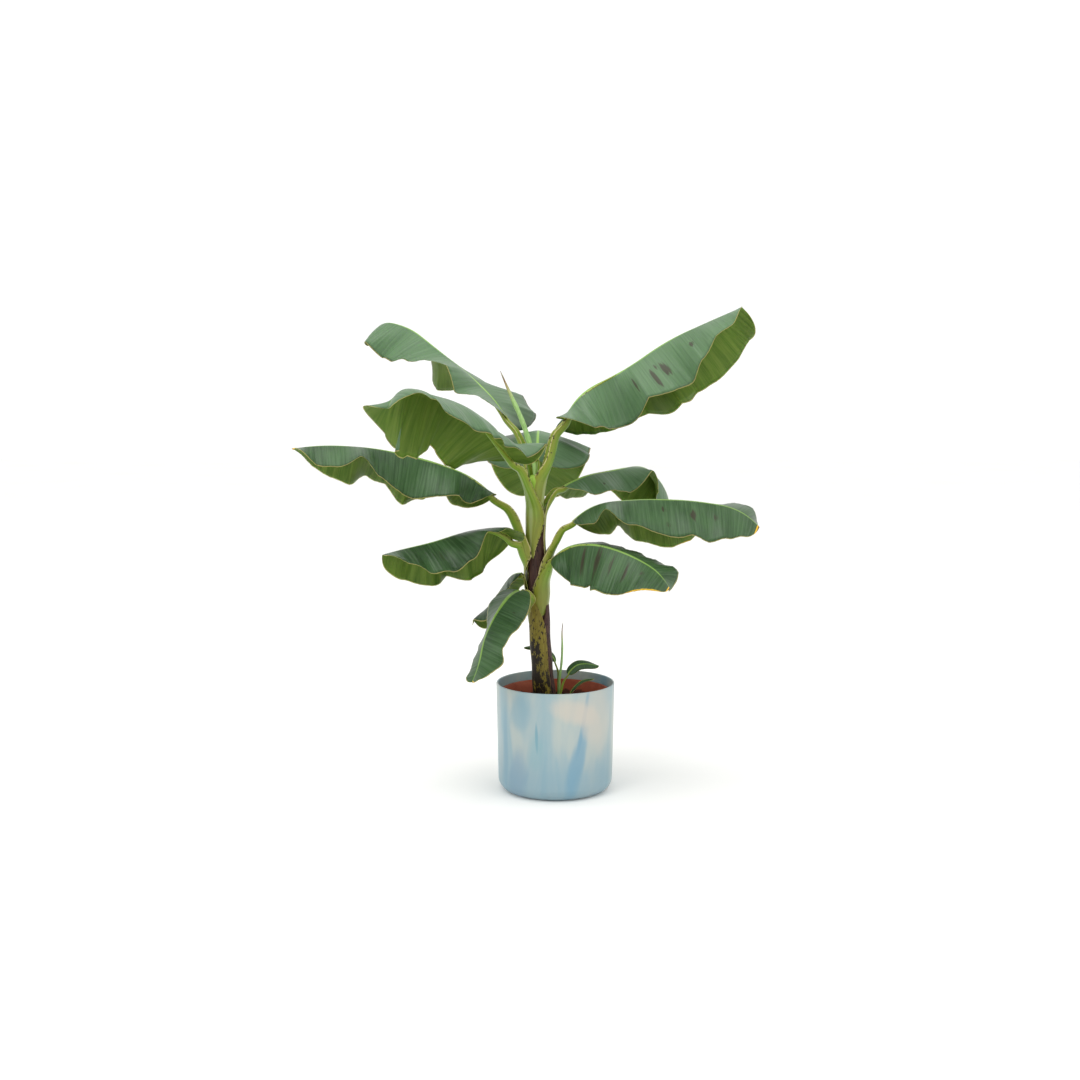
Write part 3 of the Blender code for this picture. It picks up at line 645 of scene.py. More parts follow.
def makeBladeTree():
    tree, add, sizes = startTree("leaf_skin", {
        **{label: "Float" for label in (*bladeSkin, "Seed")}, "Upper": "Material", "Under": "Material"})
    place, form = [add("GeometryNodeInputNamedAttribute", Name=name, data_type="FLOAT_VECTOR")
                   for name in ("leafPlace", "leafForm")]
    along, _, toMargin = add("SeparateXYZ", place).outputs
    ribShare, fromBase, sideShare = add("SeparateXYZ", form).outputs
    outward = add("Math", sideShare, operation="ABSOLUTE")

    # pleats: one soft fold for each bundle of side veins, fading out toward the midrib
    count = add("Math", along, sizes["Pleat Spacing"], operation="DIVIDE")
    drift = add("CombineXYZ", {0: along, 2: sizes["Seed"]})
    wander = add("TexNoise", Vector=drift, Scale=35.0, Detail=1.0)
    phase = add("Math", wander, 2.2, count, operation="MULTIPLY_ADD")
    fold = add("Math", add("Math", phase, 2 * pi, operation="MULTIPLY"), operation="SINE")
    strong = add("MapRange", outward, 0.02, 0.30, 0.2, 1.0, interpolation_type="SMOOTHSTEP")
    for share in (strong, sizes["Pleat Depth"]):
        fold = add("Math", fold, share, operation="MULTIPLY")

    # the margin ruffles a little by itself
    margin = add("MapRange", outward, 0.55, 1.0, 0.0, 1.0, interpolation_type="SMOOTHSTEP")
    frillWay = add("CombineXYZ", along, sideShare, sizes["Seed"])
    frill = add("TexNoise", Vector=frillWay, Scale=42.0, Detail=1.5)
    frill = add("Math", frill, 4.0, -2.0, operation="MULTIPLY_ADD")
    for share in (margin, sizes["Ruffle"]):
        frill = add("Math", frill, share, operation="MULTIPLY")
    lift = add("Math", fold, frill, operation="ADD")

    # the sheet thins out to nothing at its margin and at both ends
    half = add("MapRange", toMargin, 0.0, 0.002, 0.0, 0.5, interpolation_type="SMOOTHSTEP")
    base = add("MapRange", fromBase, 0.0, 0.01, 0.0, 1.0)
    tip = add("MapRange", fromBase, 1.0, 0.99, 0.0, 1.0)
    ends = add("Math", base, tip, operation="MULTIPLY")
    for share in (ends, sizes["Thickness"]):
        half = add("Math", half, share, operation="MULTIPLY")

    # midrib: a round rib below and a shallow groove above, both finer toward the tip
    square = add("Math", ribShare, ribShare, operation="MULTIPLY")
    arch = add("Math", 1.0, square, operation="SUBTRACT", use_clamp=True)
    arch = add("Math", arch, operation="SQRT")
    for share in (add("MapRange", fromBase, 0.0, 1.0, 1.0, 0.15), ends):
        arch = add("Math", arch, share, operation="MULTIPLY")
    rib = add("Math", arch, sizes["Rib Depth"], operation="MULTIPLY")
    groove = add("Math", arch, sizes["Groove Depth"], operation="MULTIPLY")

    up = add("Math", add("Math", lift, half, operation="ADD"), groove, operation="SUBTRACT")
    down = add("Math", add("Math", lift, half, operation="SUBTRACT"), rib, operation="SUBTRACT")
    normal = add("GeometryNodeInputNormal")
    sides = []
    for reach, label in ((up, "Upper"), (down, "Under")):
        way = add("VectorMath", {0: normal, 3: reach}, operation="SCALE")
        sheet = add("GeometryNodeSetPosition", Geometry=sizes["Geometry"], Offset=way)
        if label == "Under":
            sheet = add("GeometryNodeFlipFaces", sheet)
        sides.append(add("GeometryNodeSetMaterial", Geometry=sheet, Material=sizes[label]))
    # at the margin both sheets meet, and their points become one
    closed = add("GeometryNodeMergeByDistance", Geometry=joinParts(tree, sides), Distance=0.000004)
    real = add("GeometryNodeRealizeInstances", closed)
    add("NodeGroupOutput", add("GeometryNodeSetShadeSmooth", real))
    return tree


def makeBlade(name, leaf, mesh, sizes):
    grid, carried = bladeSheet(leaf, mesh["stations"], mesh["strips"])
    rows, columns = grid.shape[:2]
    faces = [(low, low + columns, low + columns + 1, low + 1) for row in range(rows - 1)
             for low in range(row * columns, row * columns + columns - 1)]
    blade = newPiece("leaf_" + name, grid, faces, carried)
    applyTree(blade, bladeTree, {**sizes, "Seed": leaf["turn"] / 7.0, "Upper": leafTop, "Under": leafUnder})
    finishPiece(blade, "blade", "blade_" + name)


bladeTree = makeBladeTree()
for name, leaf in leaves.items():
    makeBlade(name, leaf, bladeMesh,
              {**bladeSkin, "Rib Depth": bladeSkin["Rib Depth"] * leaf.get("girth", 1.0)})
for name, leaf in shoots.items():
    makeBlade(name, leaf, shootMesh, shootSkin)
print("blades done:", len(leaves) + len(shoots))


# stalks: each widens at its foot into a sheath that wraps the stem

sheathSizes = dict(spacing=0.0022, shootSpacing=0.0015, points=17, skin=0.0013, window=0.066,
                   stalkWrap=106, under=0.34, deeper=1.56)
# for each leaf: the bearing its sheath wraps round, the half angles of that wrap from its foot
# up, its length, how far up the stalk it opens and over what length, how far out it lies, and
# how stout the stalk is; window is the length over which its bend is rounded off
sheaths = {
    "top_right": dict(bearing=-30, wrap=(115, 128), length=0.066,
                      opens=0.019, ease=0.072, lift=0.0006, stout=1.30),
    "top_left": dict(bearing=150, wrap=(90, 105), length=0.110,
                     opens=0.0, ease=0.075, lift=0.0003, stout=1.0),
    "upper_left": dict(bearing=240, wrap=(8, 24, 44, 72, 106), length=0.110,
                       opens=0.004, ease=0.078, lift=0.0024, stout=0.88, window=0.044),
    "back": dict(bearing=80, wrap=(90, 100), length=0.110,
                 opens=0.0, ease=0.075, lift=0.0, stout=1.0),
    "right_back": dict(bearing=45, wrap=(80, 85), length=0.110,
                       opens=0.0, ease=0.060, lift=0.0009, stout=0.85),
    "left": dict(bearing=190, wrap=(10, 16, 36, 74, 86), length=0.056,
                 opens=0.030, ease=0.050, lift=0.0030, stout=1.0),
    "right": dict(bearing=0, wrap=(80, 96), length=0.110,
                  opens=0.028, ease=0.045, lift=0.0019, stout=0.85),
    "lower_left": dict(bearing=168, wrap=(28, 42), length=0.130,
                       opens=0.012, ease=0.040, lift=0.0022, stout=1.0),
    "lower_right": dict(bearing=-20, wrap=(84, 120), length=0.066,
                        opens=0.020, ease=0.060, lift=0.0025, stout=0.95),
    "low_back": dict(bearing=140, wrap=(60, 70), length=0.080,
                     opens=0.005, ease=0.040, lift=0.0027, stout=0.8),
    "front": dict(bearing=202, wrap=(18, 26), length=0.070,
                  opens=0.005, ease=0.040, lift=0.0028, stout=0.65),
}


def ringFaces(rings, sides):                # a closed tube with both ends capped
    caps = [tuple(range(sides)), tuple(range((rings - 1) * sides, rings * sides))]
    return caps + spanFaces(rings, sides)


def channelRings(line, heading, wide, deep, wrap, free, skin):
    # rings of an open channel: its outside round the back, then its inside back again
    _, across, over = directions(np.gradient(line, axis=0), heading)
    side = np.linspace(-1, 1, sheathSizes["points"])
    angle = np.radians(wrap)[:, None] * side
    back = wide[:, None] * np.sin(angle)
    down = -deep[:, None] * np.cos(angle)
    edgeX = (wide * np.sin(np.radians(wrap)))[:, None] * side
    edgeH = (-deep * np.cos(np.radians(wrap)))[:, None]
    floorH = -0.20 * deep[:, None]
    channelH = floorH + (edgeH - floorH) * np.abs(side) ** 1.7
    thin = 1 - skin / deep[:, None] * (1 - np.abs(side) ** 6)
    share = free[:, None]
    insideX = (back * thin) * (1 - share) + edgeX * share
    insideH = (down * thin) * (1 - share) + channelH * share
    x = np.concatenate([back, insideX[:, -2:0:-1]], 1)
    h = np.concatenate([down, insideH[:, -2:0:-1]], 1)
    rings = line[:, None] + x[:, :, None] * across[:, None] + h[:, :, None] * over[:, None]
    return rings, np.broadcast_to(np.concatenate([side, side[-2:0:-1]]), x.shape)


def evenLine(line, spacing, window):
    run = np.concatenate([[0], np.cumsum(np.linalg.norm(np.diff(line, axis=0), axis=1))])
    count = int(run[-1] / spacing) + 1
    even = np.linspace(0, run[-1], count)
    points = np.stack([np.interp(even, run, line[:, k]) for k in range(3)], 1)
    if window:                              # rounds off the bend where the stalk leaves the stem
        reach = int(window / spacing / 2)
        ends = np.minimum(np.minimum(np.arange(count), np.arange(count)[::-1]), reach)
        points = np.stack([points[k - e:k + e + 1].mean(0) for k, e in enumerate(ends)])
    return points, even


def carry(shape, *values):                  # three numbers for each point of the rings
    values = [v[:, None] if np.ndim(v) == 1 else v for v in values]
    return np.stack([np.broadcast_to(v, shape) for v in values], 2)


def makeStalk(name, leaf):
    stalk, turns, midrib, _ = leafPaths(leaf)
    sheath = sheaths.get(name, dict(stout=0.8))
    girth = leaf.get("girth", 1.0) * sheath["stout"]
    under = sheathSizes["under"] * leaf["blade"]    # how far it runs on below the midrib
    tail = midrib[1:int(sheathSizes["under"] * len(midrib))]
    own = "foot" in leaf
    if own:
        line, even = evenLine(np.vstack([stalk, tail]), sheathSizes["shootSpacing"], 0)
        start = 0.0
    else:
        foot = leaf["height"] - sheath["length"]
        low = np.array([stemCentre(z) for z in np.arange(foot, leaf["height"] - 0.014, 0.002)])
        start = np.linalg.norm(np.diff(np.vstack([low, stalk[:1]]), axis=0), axis=1).sum()
        window = sheath.get("window", sheathSizes["window"])
        line, even = evenLine(np.vstack([low, stalk, tail]), sheathSizes["spacing"], window)
    share = np.clip((even - start) / leaf["stalk"], 0, 1)
    heading = eased(turns, share)
    deep = sheathSizes["deeper"] * girth * eased(stalkSizes["heights"], share)
    if own:
        free = raised = np.ones(len(even))
        wrap = 125 - 20 * share
        wide = girth * eased(stalkSizes["shootWidths"], share)
    else:
        ease = sheath["ease"] / 2
        opens = start + sheath["opens"]
        hug = stemRadius(line[:, 2]) - 0.0010 + sheath["lift"]
        hug = hug - 0.0035 * (1 - smooth(0.0, 0.03, even))
        slim = smooth(opens - ease, opens + ease, even)
        free = smooth(opens - 1.5 * ease, opens + 0.5 * ease, even)
        wide = hug * (1 - slim) + girth * eased(stalkSizes["widths"], share) * slim
        deep = hug * (1 - free) + deep * free
        around = eased(sheath["wrap"], even / (opens - ease))
        wrap = around + (sheathSizes["stalkWrap"] - around) * slim
        heading = sheath["bearing"] + (heading - sheath["bearing"]) * slim
        # below the place where it leaves, its back lies on the stem
        axis = np.array([stemCentre(z) for z in line[:, 2]])
        deep = np.maximum(deep, hug - np.linalg.norm((line - axis)[:, :2], axis=1))
        raised = smooth(opens, opens + 2 * ease, even)
    heading = np.radians(heading)
    over = np.clip((even - start - leaf["stalk"]) / under, 0, 1)    # it thins out under the midrib
    wide = wide * (1 - 0.80 * over ** 0.8)
    deep = deep * (1 - 0.80 * over ** 0.8)
    wrap = wrap - 14 * over
    rise = deep * raised * (0.56 - 0.88 * smooth(0.70, 1.0, share))
    line = line + directions(np.gradient(line, axis=0), heading)[2] * rise[:, None]
    rings, side = channelRings(line, heading, wide, deep, wrap, free, sheathSizes["skin"])
    piece = newPiece(("sprout_" if own else "petiole_") + name, rings, ringFaces(*side.shape), {
        "stalkPlace": carry(side.shape, even, side, free),
        "stalkState": carry(side.shape, leaf.get("specks", 0.2), 0.0, 0.5 * (1 - free) + 0.1)})
    faceOutward(piece)
    piece.data.materials.append(stalkSkin)
    finishPiece(piece, "stalk", "stalk_" + name)


for name, leaf in [*leaves.items(), *shoots.items()]:
    makeStalk(name, leaf)
print("stalks and sheaths done")


# false stem: a core of dried sheaths, with older sheaths around its foot

coreSizes = dict(rings=150, sides=96, inset=0.0012, slim=0.0030, ridges=9, ridge=0.00035, dome=0.012)
oldSheaths = {
    "front": dict(turn=253, top=0.358, point=0.050, wrap=50, spread=4,
                  lifts=(-0.0016, 0.0006, 0.0024, 0.0058), skin=oliveSheath),
    "right": dict(turn=-2, top=0.392, point=0.080, wrap=66, spread=20,
                  lifts=(-0.0022, -0.0004, 0.0014, 0.0030), skin=brownSheath),
    "back": dict(turn=95, top=0.385, point=0.070, wrap=110, spread=10,
                 lifts=(-0.0030, -0.0020, -0.0006, 0.0007), skin=brownSheath),
    "left": dict(turn=170, top=0.350, point=0.060, wrap=80, spread=10,
                 lifts=(-0.0026, -0.0014, 0.0, 0.0009), skin=oliveSheath),
}


def makeCore():
    heights = np.linspace(stem["foot"] - 0.004, stem["top"] + 0.004, coreSizes["rings"])
    angle = np.arange(coreSizes["sides"]) * 2 * pi / coreSizes["sides"]
    bearing = (angle / (2 * pi) + 0.5) % 1 - 0.5
    rings, place = [], []
    for z in heights:
        level = min(max(z, stem["foot"]), stem["top"])
        radius = stemRadius(level) - coreSizes["inset"] - coreSizes["slim"] * smooth(0.36, 0.20, level)
        radius *= np.sqrt(1 - smooth(stem["top"] - coreSizes["dome"], stem["top"] + 0.006, z) ** 2 * 0.8)
        swell = coreSizes["ridge"] * np.sin(coreSizes["ridges"] * angle + 9 * z)
        swell = swell + 0.6 * coreSizes["ridge"] * np.sin(23 * angle - 31 * z)
        rings.append(np.stack([stemCentre(z)[0] + (radius + swell) * np.cos(angle),
                               (radius + swell) * np.sin(angle), np.full(len(angle), z)], 1))
        place.append(np.stack([bearing, np.full(len(angle), z), np.zeros(len(angle))], 1))
    core = newPiece("false_stem", rings, ringFaces(len(rings), len(angle)), {"stemPlace": place})
    faceOutward(core)
    core.data.materials.append(coreSkin)
    finishPiece(core, "pseudostem", "pseudostem")


def makeOldSheath(name, sizes):
    heights = np.arange(stem["foot"] - 0.003, sizes["top"], 0.002)
    line = np.array([stemCentre(z) for z in heights])
    near = np.clip((sizes["top"] - heights) / sizes["point"], 0, 1)
    wrap = sizes["wrap"] + sizes["spread"] * smooth(0.34, 0.22, heights)
    wrap = wrap * np.maximum(near ** 0.8, 0.03)
    radius = stemRadius(np.maximum(heights, stem["foot"]))
    radius = radius + eased(sizes["lifts"], (heights - stem["foot"]) / (sizes["top"] - stem["foot"]))
    radius = radius + 0.0005 * np.sin(heights * 90 + sizes["turn"])
    heading = np.full(len(heights), radians(sizes["turn"]))
    rings, side = channelRings(line, heading, radius, radius, wrap, np.zeros(len(heights)), 0.0016)
    bearing = np.arctan2(rings[:, :, 1], rings[:, :, 0] - line[:, None, 0]) / (2 * pi)
    piece = newPiece("old_sheath_" + name, rings, ringFaces(*side.shape), {
        "stemPlace": carry(side.shape, bearing, heights, side)})
    faceOutward(piece)
    piece.data.materials.append(sizes["skin"])
    finishPiece(piece, "pseudostem")


makeCore()
for name, sizes in oldSheaths.items():
    makeOldSheath(name, sizes)
print("false stem done")


# newest leaves, still rolled: a rolled profile swept along a path by a node tree

def makeRolledSkin():
    # a rolled young leaf: pale green with a seam, and a papery dry tip
    material, add = startMaterial("rolled_young_leaf", {"Roughness": 0.42, "Specular IOR Level": 0.4})
    fromFoot = readPoint(add, "rollPlace")[0]
    longWay = add("VectorMath", add("TexCoord").outputs["Object"], (1.0, 1.0, 0.12), operation="MULTIPLY")
    fibre = add("TexNoise", Vector=longWay, Scale=600.0, Detail=3.0)
    shade = add("Math", fibre, 0.16, fromFoot, operation="MULTIPLY_ADD")
    ramp = add("ValToRGB", shade, stops=[
        (0.0, "#7fa348"), (0.45, "#86b064"), (0.80, "#93b86c"), (0.90, "#a9a671"),
        (0.96, "#8d6f4e"), (1.0, "#6f513c")])
    colour = paintLayers(add, ramp, [("#c3d3a0", fibre, 0.48, 0.72, 0.5, "LINEAR")])
    return finishMaterial(material, colour, fibre, 0.4, 0.0004)


def makeRollTree():
    tree, add, sizes = startTree("rolled_leaf", {
        "Seam Step": "Float", "Twist": "Float", "Sides": "Int", "Skin": "Material"})
    place = add("GeometryNodeInputNamedAttribute", Name="rollPlace", data_type="FLOAT_VECTOR")
    fromFoot, radius, _ = add("SeparateXYZ", place).outputs
    curve = add("GeometryNodeMeshToCurve", sizes["Geometry"])
    twist = add("Math", fromFoot, sizes["Twist"], operation="MULTIPLY")
    curve = add("GeometryNodeSetCurveTilt", Curve=curve, Tilt=twist)
    # the profile's radius grows round it, so that it ends in a step, the seam
    ring = add("GeometryNodeCurvePrimitiveCircle", Resolution=sizes["Sides"], Radius=1.0)
    factor = add("GeometryNodeSplineParameter").outputs["Factor"]
    swell = add("Math", factor, sizes["Seam Step"], 1.0, operation="MULTIPLY_ADD")
    rolled = add("VectorMath", {0: add("GeometryNodeInputPosition"), 3: swell}, operation="SCALE")
    ring = add("GeometryNodeSetPosition", Geometry=ring, Position=rolled)
    tube = add("GeometryNodeCurveToMesh", Curve=curve, Profile_Curve=ring, Scale=radius, Fill_Caps=True)
    real = add("GeometryNodeRealizeInstances", add("GeometryNodeSetShadeSmooth", tube))
    add("NodeGroupOutput", add("GeometryNodeSetMaterial", Geometry=real, Material=sizes["Skin"]))
    return tree


rollTree = makeRollTree()
rollSizes = {"Seam Step": 0.16, "Twist": 5.0, "Sides": 28, "Skin": makeRolledSkin()}
rolls = {
    "rolled_leaf": dict(foot=stemCentre(stem["top"]), length=0.206, turns=(180, 190),
                        climb=(86, 74, 65, 67), radii=(0.0036, 0.0045, 0.0038, 0.0009),
                        node="furled_leaf"),
    "rolled_shoot": dict(foot=(0.0066, 0.0130, soilTop + gap), length=0.153, turns=(0, 20),
                         climb=(90, 88, 82, 88, 92, 80), radii=(0.0028, 0.0022, 0.0019, 0.0006),
                         node="shoot_furled"),
}
for name, sizes in rolls.items():
    path = walk(np.array(sizes["foot"]), sizes["length"], sizes["turns"], sizes["climb"], 90)
    share = np.linspace(0, 1, len(path))
    radius = eased(sizes["radii"], share) * (1 - 0.6 * smooth(0.94, 1.0, share))
    radius = radius * (1 + 0.05 * np.sin(share * 40))
    links = [(k, k + 1) for k in range(len(path) - 1)]
    roll = newPiece(name, path, [], {"rollPlace": np.stack([share, radius, 0 * share], 1)}, links)
    applyTree(roll, rollTree, rollSizes)
    finishPiece(roll, "stalk", sizes["node"])
print("rolled leaves done")


# pots

def turnedPiece(name, profile, sides):      # a closed profile of (radius, height) turned round Z
    profile = np.array(profile)
    inner = profile[1:-1]
    angle = np.arange(sides) * 2 * pi / sides
    rings = np.stack([inner[:, :1] * np.cos(angle), inner[:, :1] * np.sin(angle),
                      np.broadcast_to(inner[:, 1:], (len(inner), sides))], 2)
    points = [(0.0, 0.0, profile[0][1]), (0.0, 0.0, profile[-1][1])] + rings.reshape(-1, 3).tolist()
    last = 2 + (len(inner) - 1) * sides
    faces = [(0, 2 + (k + 1) % sides, 2 + k) for k in range(sides)]
    faces += [(1, last + k, last + (k + 1) % sides) for k in range(sides)]
    piece = newPiece(name, points, faces + spanFaces(len(inner), sides, 2))
    faceOutward(piece)
    return piece


def arc(middle, height, size, start, stop, steps):
    angles = np.radians(np.linspace(start, stop, steps + 1))
    return [(middle + size * cos(a), height + size * sin(a)) for a in angles]


def straight(start, end, steps, count):     # the first points of a line, without its start
    return [tuple(a + (b - a) * k / steps for a, b in zip(start, end)) for k in range(1, count + 1)]


def makeCoverPotSkin():
    # injection-moulded plastic with streaks of blue, teal and cream stirred into it, satin
    material, add = startMaterial("marbled_satin_plastic", {"Roughness": 0.36})
    spot = add("TexCoord").outputs["Object"]
    x, y, z = add("SeparateXYZ", spot).outputs
    toward = add("Math", y, -1.0, operation="MULTIPLY")
    bearing = add("Math", x, toward, operation="ARCTAN2")
    girth = add("Math", bearing, 0.109, operation="MULTIPLY")   # metres round it from the front
    flow = add("VectorMath", spot, (1.0, 1.0, 0.32), operation="MULTIPLY")
    swirl = add("TexNoise", Vector=flow, Scale=14.0, Detail=3.0, Roughness=0.5, Distortion=0.9)
    haze = add("TexNoise", Vector=flow, Scale=34.0, Detail=2.0, Distortion=0.5)
    ramp = add("ValToRGB", swirl, stops=[
        (0.30, "#7f9ea8"), (0.44, "#91a5a9"), (0.56, "#9faba9"), (0.70, "#a7afa9")])
    layers = [("#7796a4", z, 0.120, 0.020, 0.55)]

    # place round it from the front, height, lean, half width, reach up and down, all in metres,
    # then the strength and the colour
    streaks = [
        (-0.070, 0.165, 0.10, 0.018, 0.024, 0.50, "#6792a4"),
        (-0.036, 0.120, -0.02, 0.0022, 0.020, 0.65, "#528a9d"),
        (-0.040, 0.095, 0.05, 0.010, 0.026, 0.35, "#719ca4"),
        (0.052, 0.150, 0.20, 0.0035, 0.045, 0.65, "#638ea4"),
        (0.040, 0.070, 0.22, 0.010, 0.050, 0.75, "#6590a6"),
        (-0.080, 0.040, 0.12, 0.016, 0.040, 0.60, "#6d8da2"),
        (-0.112, 0.085, 0.03, 0.006, 0.070, 0.50, "#6b90a2"),
        (0.128, 0.100, 0.06, 0.007, 0.080, 0.35, "#7799a2"),
        (0.215, 0.120, 0.14, 0.012, 0.060, 0.65, "#6590a4"),
        (-0.220, 0.080, -0.15, 0.014, 0.055, 0.65, "#6792a4"),
        (0.300, 0.060, -0.10, 0.008, 0.050, 0.60, "#638ea4"),
        (0.036, 0.166, -0.9, 0.030, 0.018, 0.60, "#beb4a6"),
        (0.064, 0.150, -0.3, 0.020, 0.030, 0.45, "#bbb3a7"),
        (0.090, 0.150, 0.0, 0.020, 0.050, 0.45, "#b5b2a9"),
        (-0.290, 0.150, 0.6, 0.020, 0.014, 0.75, "#beb4a6"),
    ]
    for place, height, lean, width, reach, most, tint in streaks:
        up = add("Math", z, height, operation="SUBTRACT")
        shift = add("Math", up, -lean, girth, operation="MULTIPLY_ADD")
        sway = add("Math", haze, 1.6 * width, shift, operation="MULTIPLY_ADD")
        off = add("Math", sway, place + 0.8 * width, operation="SUBTRACT")
        off = add("Math", off, width, operation="DIVIDE")
        rise = add("Math", up, reach, operation="DIVIDE")
        rise = add("Math", rise, rise, operation="MULTIPLY")
        gone = add("Math", off, off, rise, operation="MULTIPLY_ADD")
        layers.append((tint, add("MapRange", gone, 0.0, 3.4, most, 0.0, interpolation_type="SMOOTHERSTEP")))
    colour = paintLayers(add, ramp, layers)
    rough = add("MapRange", haze, 0.3, 0.7, 0.32, 0.42)
    pebble = add("TexNoise", Vector=spot, Scale=900.0, Detail=1.0)
    return finishMaterial(material, colour, pebble, 0.12, 0.0002, rough)


coverPot = dict(rim=0.110, base=0.1065, corner=0.024, wall=0.0035, lip=0.00175, sides=160)
rim, base, corner = coverPot["rim"], coverPot["base"], coverPot["corner"]
wall, lip = coverPot["wall"], coverPot["lip"]
profile = [(0.0, wall), (0.030, wall), (0.060, wall)]
profile += arc(base - corner, corner, corner - wall, -90, 0, 12)
profile += straight((base - wall, corner), (rim - wall, potHeight - lip), 8, 7)
profile += arc(rim - lip, potHeight - lip, lip, 180, 0, 10)
profile += straight((rim, potHeight - lip), (base, corner), 8, 7)
profile += arc(base - corner, corner, corner, 0, -90, 16)
profile += [(0.060, 0.0), (0.030, 0.0), (0.0, 0.0)]
pot = turnedPiece("marbled_pot", profile, coverPot["sides"])
pot.data.materials.append(makeCoverPotSkin())
finishPiece(pot, "cover_pot", "cover_pot")


def makeNurserySkin():
    # thin moulded polypropylene in red-brown, dull, dusted with compost low down
    material, add = startMaterial("red_brown_polypropylene", {"Roughness": 0.52, "Specular IOR Level": 0.35})
    spot = add("TexCoord").outputs["Object"]
    dust = add("TexNoise", Vector=spot, Scale=45.0, Detail=6.0, Roughness=0.65)
    z = add("SeparateXYZ", spot).outputs[2]
    ramp = add("ValToRGB", dust, stops=[(0.35, "#96452c"), (0.55, "#a35034"), (0.75, "#ad5b3d")])
    low = add("MapRange", z, soilTop + 0.016, soilTop, 0.0, 0.45)
    dirt = add("Math", low, dust, operation="ADD")
    colour = paintLayers(add, ramp, [("#2a1a12", dirt, 0.72, 0.90, 0.8)])
    pebble = add("TexNoise", Vector=spot, Scale=700.0, Detail=1.0)
    return finishMaterial(material, colour, pebble, 0.2, 0.0002)


nursery = dict(rim=0.1025, base=0.078, wall=0.002, lip=0.010, lipWall=0.0035, edge=0.001, sides=128)
nurseryTop, nurseryFoot = potHeight - rimDrop, coverPot["wall"] + gap
rim, base, lip, edge = nursery["rim"], nursery["base"], nursery["lip"], nursery["edge"]
inside, insideBase = rim - nursery["lipWall"], base - nursery["wall"]
slant = (rim - base) / (nurseryTop - nurseryFoot)
floorTop = nurseryFoot + nursery["wall"]
profile = [(0.0, floorTop), (0.04, floorTop), (insideBase, floorTop)]
profile += straight((insideBase, floorTop), (inside, nurseryTop - edge), 10, 10)
profile += arc(inside + edge, nurseryTop - edge, edge, 150, 90, 3)
profile += arc(rim - edge, nurseryTop - edge, edge, 90, 0, 4)
profile += [(rim - 0.0002, nurseryTop - lip), (rim - lip * slant - 0.0012, nurseryTop - lip - 0.0002),
            (base, nurseryFoot), (0.04, nurseryFoot), (0.0, nurseryFoot)]
liner = turnedPiece("growers_pot", profile, nursery["sides"])
liner.data.materials.append(makeNurserySkin())
finishPiece(liner, "nursery_pot", "nursery_pot")
print("pots done")


# compost: an uneven bed, with crumbs and fibres scattered on it by a node tree

def makeCompostSkin(name, dark, light):
    # moist peat and bark: near black in the hollows, partly a painted shade there, and brown on dry crumbs
    material, add = startMaterial(name, {"Roughness": 0.92, "Specular IOR Level": 0.2})
    spot = add("TexCoord").outputs["Object"]
    crumb = add("TexNoise", Vector=spot, Scale=220.0, Detail=5.0, Roughness=0.7)
    ramp = add("ValToRGB", crumb, stops=[(0.35, dark), (0.68, light)])
    return finishMaterial(material, ramp.outputs[0], crumb, 0.8, 0.0015)


def makeScatterTree():
    tree, add, sizes = startTree("scattered_crumbs", {
        "Crumb Size": "Float", "Crumbs": "Float", "Fibre Length": "Float", "Fibres": "Float",
        "Seed": "Int", "Crumb Skin": "Material", "Fibre Skin": "Material"})
    lump = add("GeometryNodeMeshIcoSphere", Radius=sizes["Crumb Size"], Subdivisions=2)
    spot = add("GeometryNodeInputPosition")
    knob = add("TexNoise", Vector=spot, Scale=420.0, Detail=1.0)
    knob = add("Math", knob, 1.3, 0.35, operation="MULTIPLY_ADD")
    bumpy = add("VectorMath", {0: spot, 3: knob}, operation="SCALE")
    lump = add("GeometryNodeSetPosition", Geometry=lump, Position=bumpy)

    reach = add("CombineXYZ", sizes["Fibre Length"])
    bend = add("VectorMath", reach, (0.5, 0.0, 0.0), (0.0, 0.003, 0.0015), operation="MULTIPLY_ADD")
    strand = add("GeometryNodeCurveQuadraticBezier", Resolution=8, Start=(0, 0, 0), Middle=bend, End=reach)
    girth = add("GeometryNodeCurvePrimitiveCircle", Resolution=5, Radius=0.0003)
    strand = add("GeometryNodeCurveToMesh", Curve=strand, Profile_Curve=girth, Fill_Caps=True)

    scattered = []
    kinds = ((lump, "Crumb Skin", "Crumbs", 0.35, 1.5, pi), (strand, "Fibre Skin", "Fibres", 0.5, 1.3, 0.12))
    for number, (shape, skin, density, small, large, tilt) in enumerate(kinds):
        shape = add("GeometryNodeSetMaterial", Geometry=add("GeometryNodeSetShadeSmooth", shape),
                    Material=sizes[skin])
        seed = add("Math", sizes["Seed"], 11.0 * number, operation="ADD")
        spots = add("GeometryNodeDistributePointsOnFaces", Mesh=sizes["Geometry"],
                    Density=sizes[density], Seed=seed)
        turned = add("FunctionNodeRandomValue", (-tilt, -tilt, 0.0), (tilt, tilt, 2 * pi), Seed=seed,
                     data_type="FLOAT_VECTOR")
        sized = add("FunctionNodeRandomValue", {2: small, 3: large}, Seed=seed, data_type="FLOAT")
        scattered.append(add("GeometryNodeInstanceOnPoints", Points=spots, Instance=shape,
                             Rotation=turned, Scale=sized.outputs[1]))
    add("NodeGroupOutput", add("GeometryNodeRealizeInstances", joinParts(tree, scattered)))
    return tree


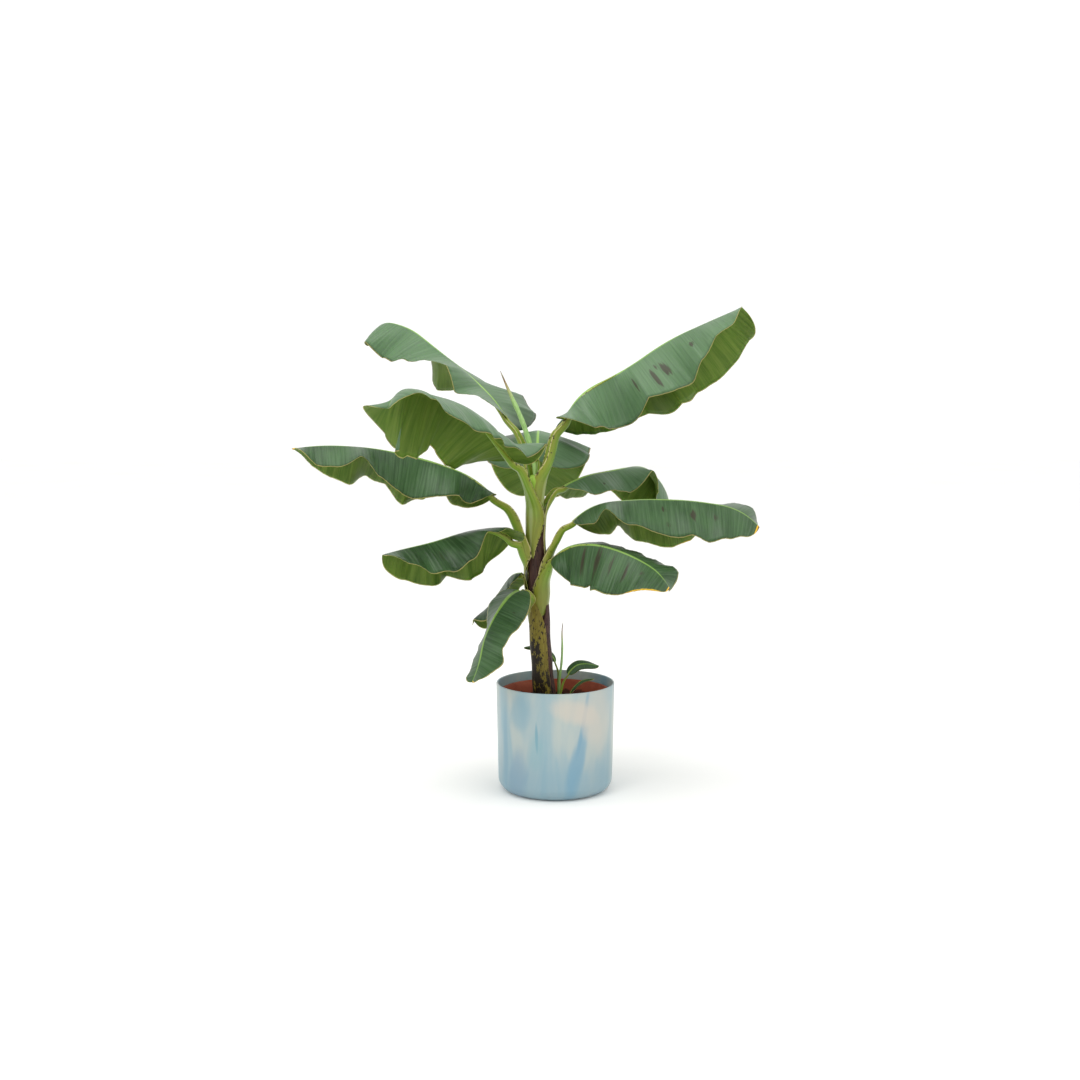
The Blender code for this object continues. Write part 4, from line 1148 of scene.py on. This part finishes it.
compost = dict(rings=46, sides=128, relief=0.0022, sunk=0.0015, mound=0.004, moundReach=0.035,
               waves=60, seed=5)
crumbSizes = {"Crumb Size": 0.0022, "Crumbs": 26000.0, "Fibre Length": 0.014, "Fibres": 3500.0, "Seed": 4}
taper = (inside - insideBase) / (nurseryTop - floorTop)
edgeRadius = insideBase + (soilTop - floorTop) * taper - gap
sides, count = compost["sides"], compost["rings"]
radii = np.linspace(0, edgeRadius, count + 1)[1:]
angle = np.arange(sides) * 2 * pi / sides
ringX = radii[:, None] * np.cos(angle)
ringY = radii[:, None] * np.sin(angle)
chance = np.random.default_rng(compost["seed"])
swell = np.zeros_like(ringX)
for _ in range(compost["waves"]):           # many small waves in random directions
    heading, pitch, start = chance.uniform(0, 2 * pi), chance.uniform(120, 900), chance.uniform(0, 2 * pi)
    swell += np.sin(pitch * (ringX * cos(heading) + ringY * sin(heading)) + start) * 40 / (40 + pitch) / 2
away = (ringX - stem["footX"]) ** 2 + ringY ** 2
mound = compost["mound"] * np.exp(-away / compost["moundReach"] ** 2)
bedZ = soilTop - compost["sunk"] + compost["relief"] * swell * 0.35 + mound
points = [(0.0, 0.0, float(bedZ[0].mean())), (0.0, 0.0, floorTop + gap)]
points += np.stack([ringX, ringY, bedZ], 2).reshape(-1, 3).tolist()
points += [(insideBase * cos(a), insideBase * sin(a), floorTop + gap) for a in angle]
last = 2 + (count - 1) * sides
topFaces, sideFaces = [], []
for k in range(sides):
    nxt = (k + 1) % sides
    topFaces.append((0, 2 + k, 2 + nxt))
    for low in range(2, last, sides):
        topFaces.append((low + k, low + sides + k, low + sides + nxt, low + nxt))
    sideFaces.append((last + k, last + sides + k, last + sides + nxt, last + nxt))
    sideFaces.append((1, last + sides + nxt, last + sides + k))
bed = newPiece("compost_bed", points, topFaces + sideFaces)
faceOutward(bed)
bed.data.materials.append(makeCompostSkin("moist_peat_compost", "#120b07", "#3a2619"))
finishPiece(bed, "compost", "compost")

crumbs = newPiece("compost_crumbs", points[:2 + count * sides], topFaces)
applyTree(crumbs, makeScatterTree(), {
    **crumbSizes, "Crumb Skin": makeCompostSkin("bark_crumbs", "#1c110a", "#5a3d28"),
    "Fibre Skin": makeCompostSkin("peat_fibres", "#4a3220", "#8a6a45")})
finishPiece(crumbs, "compost")
print("compost done")


# the end

bpy.context.view_layer.update()
